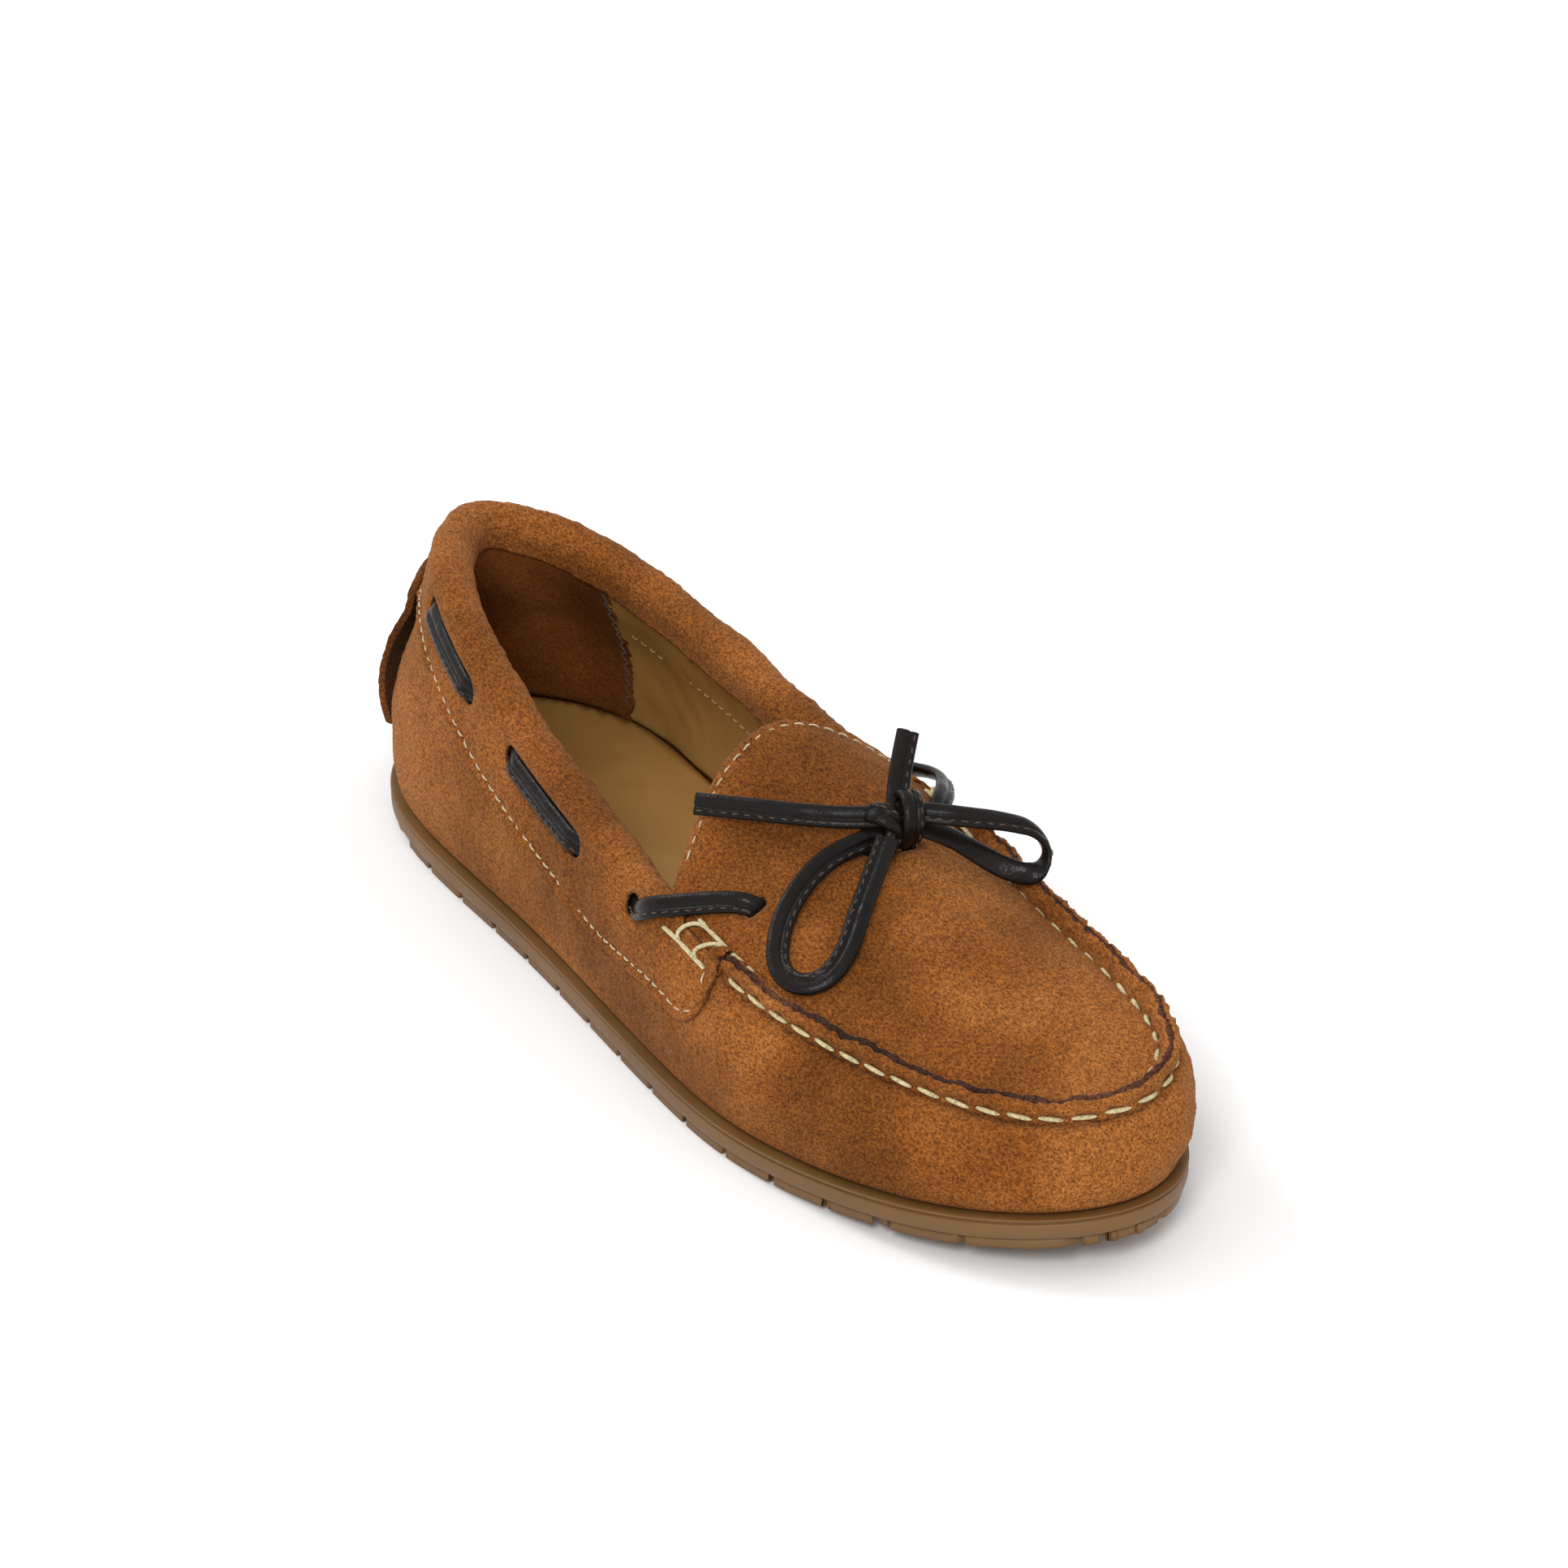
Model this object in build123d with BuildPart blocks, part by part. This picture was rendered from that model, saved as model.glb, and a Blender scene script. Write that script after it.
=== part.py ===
from build123d import *
from math import cos, pi, radians, sin
import os

import numpy as np

os.makedirs("parts", exist_ok=True)

# ---------------------------------------------------------------- driving dimensions, mm
# The right shoe of a driving moccasin. The toe points along -Y, the heel along +Y and the
# outer (lateral) side along -X; the tread rests on z = 0.

# Stations round the last, from the back of the heel down the outer side to the toe and
# back up the inner side: outline x, outline y, height of the top line (collar or seam),
# and how far the top line lies inside the outline.
STATIONS = np.array([
    (0, 130, 62, 11),
    (-18, 121.5, 62.5, 13),
    (-30, 102, 62.5, 13),
    (-34, 75, 58.5, 9),
    (-35, 45, 50, 7),
    (-37.5, 10, 44, 7),
    (-41, -32, 39, 7),
    (-40, -61.5, 35, 8.5),
    (-34, -88, 32, 11),
    (-24, -111, 30, 13),
    (-8.5, -127, 30, 13),
    (9, -130.5, 32, 9.5),
    (24, -121, 34, 5),
    (34.5, -102, 36, 6.5),
    (40, -75, 38, 10.5),
    (40.5, -45, 41, 11),
    (35.5, -12, 46.5, 7),
    (29.5, 20, 48, 4),
    (31, 50, 50, 5),
    (33, 78, 52, 8),
    (31, 102, 55, 10),
    (19, 121.5, 59, 10.5),
])
COUNT = len(STATIONS)
THROAT_LATERAL = 5.65     # station where the collar meets the tongue, outer side
THROAT_MEDIAL = 16.2      # and inner side
TAB_FRONT_LATERAL = 6.35  # station of the collar tab's front end, outer side
TAB_FRONT_MEDIAL = 15.5   # and inner side

SOLE_TOP = 7.0            # height of the rubber's upper face at the middle
TREAD = 2.0               # depth of the tread blocks
TOE_SPRING = 7.5          # rise of the sole at the toe
TOE_SPRING_START = -40.0  # y where it starts
HEEL_SPRING = 1.0
HEEL_SPRING_START = 95.0
TOE_Y = -131.0
HEEL_Y = 130.0

SUEDE = 1.6               # thickness of the wall and apron suede
BAND = 1.3                # thickness of the collar band
LINING = 1.1
STIFFENER = 0.8           # toe puff and heel counter
LOOSE = 0.35              # room left round layers that bend twice
GAP = 0.12                # left between neighbouring layers
WALL_TOTAL = 4.6          # outside of the wall to the inside of the lining, low down
ROLL_RADIUS = 3.4         # the padded roll of the collar, under its band
BAND_WIDTH = 15.5         # from the roll down to the band's lower edge
BAND_TURN_IN = 3.5        # from the roll down the inside
LASTING_MARGIN = 9.0      # the wall's edge, turned in under the insole board
CORNER = 2.2              # radius of the wall's turn on to the sole

BOARD = 1.4
FOAM = 2.2
SOCK = 1.0

LACE_TUBE = 3.2           # equal in section to the flat lace, 4.6 by 2 mm
STITCH_PITCH = 6.2
THREAD = 1.1


# ---------------------------------------------------------------- the shape of the last
def periodic_cubic(values):
    """Smooth closed curve through the station values; call with a station number."""
    values = np.asarray(values, float)
    n = len(values)
    bands = 4 * np.eye(n) + np.roll(np.eye(n), 1, 0) + np.roll(np.eye(n), -1, 0)
    slopes = np.linalg.solve(bands, 3 * (np.roll(values, -1) - np.roll(values, 1)))

    def curve(u, slope=False):
        i = int(np.floor(u)) % n
        j = (i + 1) % n
        t = u - np.floor(u)
        if slope:
            return ((6 * t * t - 6 * t) * (values[i] - values[j])
                    + (3 * t * t - 4 * t + 1) * slopes[i] + (3 * t * t - 2 * t) * slopes[j])
        return ((2 * t**3 - 3 * t * t + 1) * values[i] + (3 * t * t - 2 * t**3) * values[j]
                + (t**3 - 2 * t * t + t) * slopes[i] + (t**3 - t * t) * slopes[j])

    return curve


outline_x = periodic_cubic(STATIONS[:, 0])
outline_y = periodic_cubic(STATIONS[:, 1])
top_height = periodic_cubic(STATIONS[:, 2])
top_inset = periodic_cubic(STATIONS[:, 3])


def ramp(value, start, end):
    """0 before start, 1 after end, smooth between."""
    t = min(max((value - start) / (end - start), 0.0), 1.0)
    return t * t * (3 - 2 * t)


def between(u, start, full_first, full_last, end):
    """1 from full_first to full_last, falling smoothly to 0 at start and end."""
    u = u % COUNT
    return ramp(u, start, full_first) * (1 - ramp(u, full_last, end))


def collar_part(u):
    """1 round the collar, 0 along the apron seam."""
    return 1 - between(u, 5.1, 6.0, 15.9, 16.8)


def bulge(u):
    """How far the wall swells out over the sole, as a share of its height."""
    heel = 0.16 * (1 - between(u, 0.5, 3.0, COUNT - 3.0, COUNT - 0.5))
    return 0.12 + heel + 0.18 * between(u, 5.5, 7.5, 14.5, 16.5) + 0.2 * between(u, 10.2, 12, 12.6, 14.2)


def spring(y):
    toe = TOE_SPRING * (max(TOE_SPRING_START - y, 0) / (TOE_SPRING_START - TOE_Y)) ** 2
    heel = HEEL_SPRING * (max(y - HEEL_SPRING_START, 0) / (HEEL_Y - HEEL_SPRING_START)) ** 2
    return toe + heel


def sole_top(y):
    return SOLE_TOP + spring(y)


def station_plane(u):
    """Upright plane across the wall: its x points outward, its y up."""
    tangent = np.array([outline_x(u, True), outline_y(u, True)])
    tangent /= np.linalg.norm(tangent)
    outward = (tangent[1], -tangent[0], 0)
    y = outline_y(u)
    return Plane(origin=(outline_x(u), y, sole_top(y)), x_dir=outward,
                 z_dir=(-tangent[0], -tangent[1], 0))


def wall_path(u):
    """The wall's outer face at a station, from the turned-in margin up over the roll and
    down inside, as points, inward normals and distances from the top of the outer side."""
    collar = collar_part(u)
    roll = roll_radius(u)
    height = top_height(u) - sole_top(outline_y(u)) - BAND * collar
    lean = radians(30 + 50 * collar + 25 * (1 - collar) * ramp(abs(u % COUNT - 11), 2.5, 5))
    end = np.array([-top_inset(u) + roll * sin(lean), height - roll * (1 - cos(lean))])
    rise = np.array([-cos(lean), sin(lean)])
    start = np.array([-1.4, CORNER])
    reach = 0.38 * height
    low = start + np.array([bulge(u), 1.0]) * reach
    high = end - rise * reach
    t = np.linspace(0, 1, 60)[:, None]
    side = ((1 - t)**3 * start + 3 * t * (1 - t)**2 * low + 3 * t * t * (1 - t) * high + t**3 * end)
    inward = np.array([-sin(lean), -cos(lean)])
    centre = end + roll * inward
    turn = np.linspace(0, pi, 24)[1:, None]
    over = centre - roll * inward * np.cos(turn) + roll * rise * np.sin(turn)
    inside = over[-1] - rise * np.linspace(0, 12, 12)[1:, None]
    corner = start - CORNER
    turn = np.linspace(0, pi / 2, 8)[:-1, None]
    under = corner + CORNER * np.hstack([np.sin(turn), 1 - np.cos(turn)])
    margin = corner + np.hstack([np.linspace(-LASTING_MARGIN, 0, 10)[:-1, None], np.zeros((9, 1))])
    bottom = np.vstack([margin, under])
    # the margin lies on the sole, so it follows the sole's spring inwards
    across = -outline_x(u, True) / np.hypot(outline_x(u, True), outline_y(u, True))
    here = sole_top(outline_y(u))
    bottom[:, 1] += [sole_top(outline_y(u) + across * x) - here + 0.05 for x in bottom[:, 0]]
    points = np.vstack([bottom, side, over, inside])
    steps = np.linalg.norm(np.diff(points, axis=0), axis=1)
    along = np.concatenate([[0], np.cumsum(steps)])
    top = along[len(margin) + len(under) + len(side) - 1]
    slope = np.gradient(points, along, axis=0)
    slope /= np.linalg.norm(slope, axis=1)[:, None]
    normals = np.column_stack([-slope[:, 1], slope[:, 0]])
    return points, normals, top - along, len(margin) + len(under)


def wall_point(u, below_top, depth):
    """Plane coordinates a distance below the top of the wall and a depth inside its face."""
    points, normals, distance, _ = wall_path(u)
    order = np.argsort(distance)
    at = [np.interp(below_top, distance[order], column[order])
          for column in (points[:, 0], points[:, 1], normals[:, 0], normals[:, 1])]
    return at[0] + depth * at[2], at[1] + depth * at[3]


def wall_length(u):
    """From the top of the wall's outer side down to its lower corner."""
    _, _, distance, first_side = wall_path(u)
    return distance[first_side]


def roll_radius(u):
    """Radius of the padded roll, which dies away in front of the throat."""
    return 0.05 + (ROLL_RADIUS - 0.05) * collar_part(u)


def lining_depth(u, below_top):
    """Depth of the lining's foot side: the roll's width at the top, less lower down."""
    roll = roll_radius(u)
    return WALL_TOTAL + (max(2 * roll, WALL_TOTAL) - WALL_TOTAL) * (1 - ramp(below_top, 0, 22))


def stations_between(first, last, step=0.5):
    count = max(int(round((last - first) / step)), 1)
    return [first + (last - first) * k / count for k in range(count + 1)]


def lofted(first, last, faces, step=0.5, ruled=False):
    """Loft a closed strip between two stations; faces(u) gives the points of its two sides."""
    with BuildPart() as made:
        for u in stations_between(first, last, step):
            side_one, side_two = faces(u)
            with BuildSketch(station_plane(u)):
                with BuildLine():
                    Spline(*side_one)
                    Line(side_one[-1], side_two[-1])
                    Spline(*side_two[::-1])
                    Line(side_two[0], side_one[0])
                make_face()
        loft(ruled=ruled)
    return made


def layer(first, last, high, low, outer, inner, samples=9, step=0.5):
    """One layer of the upper. high and low say how far below the top it runs, outer and inner
    how deep its two faces lie, each as a function of the station (and, for the depths, of
    the distance below the top)."""

    def faces(u):
        runs = np.linspace(high(u), low(u), samples)
        return ([wall_point(u, w, outer(u, w)) for w in runs],
                [wall_point(u, w, inner(u, w)) for w in runs])

    return lofted(first, last, faces, step)


def outline_points(inset, first=0.0, last=float(COUNT), step=0.5, use_top=False):
    """Plan points a distance inside the outline, or inside the top line."""
    points = []
    for u in stations_between(first, last, step):
        tangent = np.array([outline_x(u, True), outline_y(u, True)])
        tangent /= np.linalg.norm(tangent)
        depth = inset + (top_inset(u) if use_top else 0)
        points.append((outline_x(u) - tangent[1] * depth, outline_y(u) + tangent[0] * depth))
    return points


def bed_line(rise):
    """Side view of a bottom layer's face from toe to heel: sprung, flat, sprung."""
    toe = [(y, sole_top(y) + rise) for y in np.linspace(TOE_Y - 5, TOE_SPRING_START, 7)]
    heel = [(y, sole_top(y) + rise) for y in np.linspace(HEEL_SPRING_START, HEEL_Y + 5, 5)]
    toe_slope = (sole_top(toe[0][0] + 1) - sole_top(toe[0][0])) / 1.0
    heel_slope = (sole_top(heel[-1][0]) - sole_top(heel[-1][0] - 1)) / 1.0
    Spline(*toe, tangents=[(1, toe_slope), (1, 0)])
    Line(toe[-1], heel[0])
    Spline(*heel, tangents=[(1, 0), (1, heel_slope)])
    return toe[0], heel[-1]


def bed_layer(inset, low, high):
    """A flat layer of the bottom that follows the sole's spring, low to high above its top."""
    with BuildPart() as made:
        with BuildSketch(Plane.XY):
            with BuildLine():
                Spline(*outline_points(inset)[:-1], periodic=True)
            make_face()
        extrude(amount=40)
        with BuildSketch(Plane.YZ.offset(-60)):
            with BuildLine():
                lower_ends = bed_line(low)
                upper_ends = bed_line(high)
                Line(lower_ends[0], upper_ends[0])
                Line(lower_ends[1], upper_ends[1])
            make_face()
        extrude(amount=120, mode=Mode.INTERSECT)
    return made


def save(made, name):
    made.part.label = name
    export_step(made.part, f"parts/{name}.step")
    print(f"{name:26s} solids {len(made.part.solids())}  volume {made.part.volume:9.1f}")


# ---------------------------------------------------------------- bottom
BLOCK_PITCH = 15.0
GROOVE = 2.6

TREAD_INSET = 2.0
TREAD_ROOT = 0.3          # how far the blocks run up into the body of the sole
BODY_WIDTH = 120.0        # wider and longer than the shoe, for cuts right across it
BODY_LENGTH = 300.0

sole_body = bed_layer(0.0, TREAD - SOLE_TOP, -GAP)
tread_slab = bed_layer(TREAD_INSET, -SOLE_TOP, TREAD - SOLE_TOP + TREAD_ROOT)
with BuildPart() as tread:
    add(tread_slab.part)
    with BuildSketch(Plane.XY.offset(-1)):
        with GridLocations(0, BLOCK_PITCH, 1, 18):
            Rectangle(BODY_WIDTH, GROOVE)
        with GridLocations(2 * BLOCK_PITCH, 0, 3, 1):
            Rectangle(GROOVE, BODY_LENGTH)
    extrude(amount=30, mode=Mode.SUBTRACT)
with BuildPart() as outsole:
    add(sole_body.part)
    add(tread.part)
save(outsole, "outsole")

MARGIN_TOP = SUEDE + 0.1
save(bed_layer(13.5, 0.02, MARGIN_TOP - GAP), "midsole_filler")
save(bed_layer(5.2, MARGIN_TOP, MARGIN_TOP + BOARD), "insole_board")
BOARD_TOP = MARGIN_TOP + BOARD
save(bed_layer(7.2, BOARD_TOP + GAP, BOARD_TOP + FOAM), "footbed_foam")
save(bed_layer(7.0, BOARD_TOP + FOAM + GAP, BOARD_TOP + FOAM + GAP + SOCK), "sock_lining")


# ---------------------------------------------------------------- upper
WALL_UNDER_BAND = 9.5            # the wall's edge under the band, below the roll
HEEL_LINING_ENDS = (1.95, 20.05)   # stations where the heel's suede lining meets the quarters
COUNTER_ENDS = (3.2, 18.8)
PUFF_ENDS = (7.6, 13.9)
QUARTER_ENDS = (6.6, 15.3)       # stations where the quarter linings meet the vamp lining
SLIT = 0.03                      # half the slit where two pieces butt, in stations


LACE_BELOW = 3.8          # the lace's middle below the roll
LACE_DEPTH = LACE_TUBE / 2 + 0.1
WINDOW_WIDTH = 4.8
WINDOWS = ((2.18, 3.36), (3.89, 4.91))
EYELET_RADIUS = 2.9
EYELET_LATERAL = 5.47
EYELET_MEDIAL = 16.53
RUN_END_LATERAL = 5.35    # stations where the run inside the collar turns out to the eyelet
RUN_END_MEDIAL = 16.65


def wall_high(u):
    """The wall starts under the collar band at the back and at the seam in front."""
    return 0.4 + WALL_UNDER_BAND * (1 - between(u, 5.3, 6.3, 15.6, 16.6))


def wall_low(u):
    return wall_length(u) + 1.9 + 0.7 * LASTING_MARGIN


def lining_low(u):
    return wall_length(u) - 3.4


def flat(depth):
    return lambda u, below: depth


def above_lining(rise):
    return lambda u, below: lining_depth(u, below) - rise


save(layer(SLIT, COUNT - SLIT, wall_high, wall_low, flat(0), flat(SUEDE), samples=13), "vamp_wrap")
save(layer(*PUFF_ENDS, lambda u: 3.0, lining_low, flat(SUEDE + LOOSE), flat(SUEDE + LOOSE + STIFFENER)),
     "toe_puff")
# round the heel the station numbers run on past the last one
save(layer(COUNTER_ENDS[1], COUNT + COUNTER_ENDS[0], lambda u: 18.0, lining_low,
           flat(SUEDE + LOOSE), flat(SUEDE + LOOSE + STIFFENER)), "heel_counter")

linings = {
    "vamp_lining": (QUARTER_ENDS[0] + SLIT, QUARTER_ENDS[1] - SLIT),
    "quarter_lining_lateral": (HEEL_LINING_ENDS[0] + SLIT, QUARTER_ENDS[0]),
    "quarter_lining_medial": (QUARTER_ENDS[1], HEEL_LINING_ENDS[1] - SLIT),
    "heel_lining": (HEEL_LINING_ENDS[1], COUNT + HEEL_LINING_ENDS[0]),
}
for name, (first, last) in linings.items():
    save(layer(first, last, lambda u: 1.0 + BAND_TURN_IN * 0.4, lining_low, above_lining(LINING),
               above_lining(0)), name)


def band_low(u):
    """The band is narrower over the heel and rounded off at the front of its tabs."""
    heel = 4.0 * (1 - between(u, 1.5, 4.0, 18.5, 20.5))
    front = between(u, TAB_FRONT_LATERAL - 0.45, TAB_FRONT_LATERAL, TAB_FRONT_MEDIAL,
                    TAB_FRONT_MEDIAL + 0.45)
    return BAND_WIDTH + 1.0 - heel - 8.0 * front ** 2


def over_roll(u):
    """Distance from the outer side's top, over the roll, to the inner side's top."""
    return pi * roll_radius(u)


def band_faces(u):
    turned = ramp(collar_part(u), 0.35, 0.95)
    end = 0.4 - (over_roll(u) + BAND_TURN_IN + 0.4) * turned
    runs = np.linspace(band_low(u), end, 17)
    return ([wall_point(u, w, -BAND) for w in runs], [wall_point(u, w, -2 * GAP) for w in runs])


def foam_faces(u):
    """The padding fills the roll and thins out below it, between band and lining. Its outer
    face is set back where the lace runs behind the band."""
    outer_runs = np.linspace(WALL_UNDER_BAND - 0.6, -0.92 * over_roll(u), 15)
    inner_runs = np.linspace(WALL_UNDER_BAND - 0.6, 3.0, 15)
    set_back = LACE_TUBE + 0.8
    outer = [wall_point(u, w, GAP + set_back * ramp(w, -2.5, 0.6)) for w in outer_runs]
    return outer, [wall_point(u, w, lining_depth(u, w) - LINING - LOOSE) for w in inner_runs]


# short straight lofts, because the roll dies away quickly towards the throat
FOAM_ENDS = (17.0, COUNT + 4.95)
band = lofted(TAB_FRONT_MEDIAL, COUNT + TAB_FRONT_LATERAL, band_faces, step=0.2, ruled=True)
collar_foam = lofted(*FOAM_ENDS, foam_faces, step=0.3, ruled=True)
save(collar_foam, "collar_foam")


def on_wall(u, below_top, depth):
    """A point given on the wall's face, in the shoe's own coordinates."""
    return station_plane(u).from_local_coords(Vector(*wall_point(u, below_top, depth)))


def tube_path(points):
    """Straight runs joined by arcs as large as the runs allow."""
    points = [Vector(*p) for p in points]
    radii = []
    for before, at, after in zip(points, points[1:], points[2:]):
        turn = radians((at - before).get_angle(after - at))
        shorter = min((at - before).length, (after - at).length)
        radii.append(0.45 * shorter / np.tan(turn / 2))
    return FilletPolyline(*points, radius=radii), radii


def tube(points, diameter):
    with BuildPart() as made:
        with BuildLine():
            path, radii = tube_path(points)
        with BuildSketch(Plane(origin=path @ 0, z_dir=path % 0)):
            Circle(diameter / 2)
        sweep()
    print(f"  tube {path.length:.1f} long, tightest arc {min(radii):.1f}")
    return made


def band_plane(u_one, u_two, below_top):
    """Plane on the band's face, midway between two stations, its x along the band."""
    one, two = on_wall(u_one, below_top, -BAND), on_wall(u_two, below_top, -BAND)
    middle = (u_one + u_two) / 2
    outward = on_wall(middle, below_top, -BAND) - on_wall(middle, below_top, BAND)
    along = (two - one).normalized()
    outward = (outward - along * outward.dot(along)).normalized()
    return Plane(origin=(one + two) * 0.5, x_dir=along, z_dir=outward), (two - one).length


CUT_DEPTH = 3.0


# ---------------------------------------------------------------- collar band and its lace
def run_end(u):
    return on_wall(u, LACE_BELOW, LACE_DEPTH)


collar_route = [run_end(u) for u in np.linspace(COUNT + RUN_END_LATERAL, RUN_END_MEDIAL, 16)]
save(tube(collar_route, LACE_TUBE), "lace_collar_run")

with BuildPart() as collar_band:
    add(band.part)
    for first, last in WINDOWS:
        for one, two in ((first, last), (COUNT - last, COUNT - first)):
            place, length = band_plane(one, two, LACE_BELOW)
            with BuildSketch(place):
                SlotOverall(length, WINDOW_WIDTH)
            extrude(amount=CUT_DEPTH, both=True, mode=Mode.SUBTRACT)
    for u in (EYELET_LATERAL, EYELET_MEDIAL):
        with BuildSketch(band_plane(u - 0.1, u + 0.1, LACE_BELOW)[0]):
            Circle(EYELET_RADIUS)
        extrude(amount=CUT_DEPTH, both=True, mode=Mode.SUBTRACT)
save(collar_band, "collar_band")


# ---------------------------------------------------------------- apron, tongue and heel tab
# Sections across the apron: y, half width, height of its middle above the seams either side.
APRON_CENTRE_X = 3.0
APRON_SECTIONS = (
    (-135, 40, 0.0), (-118, 40, 1.0), (-105, 40, 2.5), (-90, 38, 5.0), (-75, 38, 8.0),
    (-60, 38, 10.0), (-45, 37, 12.0), (-30, 36, 13.6), (-15, 35, 17.6), (0, 35, 19.6), (8, 35, 20.1),
)
SEAM_GAP = 0.9            # from the seam's line to the apron's edge


def seam_at(y, first, last):
    """The top line's x and height where it crosses y, between two stations."""
    stations = np.linspace(first, last, 120)
    line = np.array([[outline_y(u), outline_x(u), top_height(u), top_inset(u)] for u in stations])
    line = line[np.argsort(line[:, 0])]
    return [np.interp(y, line[:, 0], line[:, k]) for k in (1, 2, 3)]


def apron_section(y, half_width, crown, lower):
    """Points across the apron's upper face at y, lowered by a thickness."""
    left_x, left_z, left_in = seam_at(y, 5, 10.6)
    right_x, right_z, right_in = seam_at(y, 10.6, 17)
    left_x, right_x = left_x + left_in, right_x - right_in
    middle, spread = (left_x + right_x) / 2, (right_x - left_x) / 2
    spread = max(spread, 24)
    points = []
    for share in np.linspace(-1, 1, 9):
        x = middle + share * half_width
        across = (x - middle) / spread
        z = (left_z + right_z) / 2 + (right_z - left_z) / 2 * max(min(across, 1.2), -1.2)
        rise = crown * (1 - abs(across) ** 2.2)
        points.append((x, z + max(rise, -4) - lower))
    return points


def apron_slab(top, bottom):
    """A crowned slab wider than the apron, between two depths below its upper face."""
    with BuildPart() as made:
        for y, half_width, crown in APRON_SECTIONS:
            upper = apron_section(y, half_width, crown, top)
            lower = apron_section(y, half_width, crown, bottom)
            with BuildSketch(Plane.XZ.offset(-y)):
                with BuildLine():
                    Spline(*upper)
                    Line(upper[-1], lower[-1])
                    Spline(*lower[::-1])
                    Line(lower[0], upper[0])
                make_face()
        loft()
    return made


def apron_outline(inset, tongue_y):
    """Plan outline: the seam from throat to throat, closed by the tongue's rounded end."""
    seam = outline_points(inset, THROAT_LATERAL, THROAT_MEDIAL, use_top=True)
    with BuildLine() as line:
        Spline(*seam)
        Spline(seam[-1], (18, tongue_y - 7), (0, tongue_y), (-16, tongue_y - 2), seam[0])
    return line


def apron_layer(inset, tongue_y, top, bottom):
    with BuildPart() as made:
        with BuildSketch(Plane.XY):
            with BuildLine():
                add(apron_outline(inset, tongue_y).line)
            make_face()
        extrude(amount=90)
        add(apron_slab(top, bottom).part, mode=Mode.INTERSECT)
    return made


TONGUE_END = -4.0
apron = apron_layer(SEAM_GAP, TONGUE_END, 0, SUEDE)
tongue_lining = apron_layer(SEAM_GAP + 3, TONGUE_END - 2.5, SUEDE + GAP, SUEDE + GAP + LINING)


HEEL_TAB = 1.5
HEEL_TAB_HALF = 0.9       # half its width, in stations


def heel_tab_faces(u):
    side = abs(u - COUNT) / HEEL_TAB_HALF
    runs = np.linspace(band_low(u) - 3, wall_length(u) - 1.5 - 5 * side**4, 11)
    stand_off = [0.3 + (1.1 + 1.3 * side) * sin(0.85 * pi * (k / 10) ** 1.2) + BAND * (1 - ramp(k, 1, 3))
                 for k in range(11)]
    return ([wall_point(u, w, -off - HEEL_TAB) for w, off in zip(runs, stand_off)],
            [wall_point(u, w, -off) for w, off in zip(runs, stand_off)])


save(lofted(COUNT - HEEL_TAB_HALF, COUNT + HEEL_TAB_HALF, heel_tab_faces, step=0.3), "heel_tab")


# ---------------------------------------------------------------- hand stitching
def thread_piece(points):
    """A short thick thread, straight through two points or an arc through three."""
    with BuildPart() as made:
        with BuildLine():
            path = Polyline(*points) if len(points) == 2 else ThreePointArc(*points)
        with BuildSketch(Plane(origin=path @ 0, z_dir=path % 0)):
            Circle(THREAD / 2)
        sweep()
    return made.part


def seam_stations(first, last, pitch):
    """Stations spaced a pitch apart along the seam."""
    fine = np.linspace(first, last, 400)
    line = np.array([tuple(on_wall(u, 0.4, 0)) for u in fine])
    along = np.concatenate([[0], np.cumsum(np.linalg.norm(np.diff(line, axis=0), axis=1))])
    return np.interp(np.arange(pitch / 2, along[-1], pitch), along, fine)


# each visible stitch bridges the seam just outside its ridge
STITCH_BELOW = 2.6
STITCH_SHARE = 0.6        # of the pitch that shows as thread


def seam_stitch(u):
    step = 0.1
    pace = (on_wall(u + step, 0.4, 0) - on_wall(u, 0.4, 0)).length / step
    half = STITCH_SHARE / 2 * STITCH_PITCH / pace
    return thread_piece([on_wall(u + side * half, STITCH_BELOW, -THREAD / 2 - 0.2) for side in (-1, 1)])


def bundle(pieces):
    """Several separate threads as one sub-part."""
    with BuildPart() as made:
        for piece in pieces:
            add(piece)
    return made


stitched = seam_stations(TAB_FRONT_LATERAL + 0.15, TAB_FRONT_MEDIAL - 0.15, STITCH_PITCH)
seam_threads = [seam_stitch(u) for u in stitched]
save(bundle(seam_threads), "apron_stitching")

LADDER_ROWS = 3
LADDER_REACH = 3.0        # how far each thread runs on to the tongue
LADDER_RISE = Vector(0, 0, 2.4)


def ladder_rung(u):
    """A thread from the collar band over the seam on to the tongue."""
    outer_end = on_wall(u, 2.2, -BAND - THREAD / 2 - 0.05)
    edge = on_wall(u, 0.4, 0)
    centre = Vector(APRON_CENTRE_X, edge.Y, edge.Z)
    inner_end = edge + (centre - edge).normalized() * LADDER_REACH + LADDER_RISE * 1.1
    middle = (outer_end + inner_end) * 0.5 + LADDER_RISE * 0.55
    return thread_piece([outer_end, middle, inner_end])


for side, first, last in (("lateral", THROAT_LATERAL + 0.12, TAB_FRONT_LATERAL - 0.1),
                          ("medial", THROAT_MEDIAL - 0.12, TAB_FRONT_MEDIAL + 0.1)):
    rungs = [ladder_rung(u) for u in np.linspace(first, last, LADDER_ROWS)]
    save(bundle(rungs), f"throat_stitching_{side}")


# ---------------------------------------------------------------- lace ties and bow
KNOT = (6.5, -41, 58)
KNOT_SIZE = (12, 10, 8)
KNOT_ROUNDING = 3.4

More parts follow.
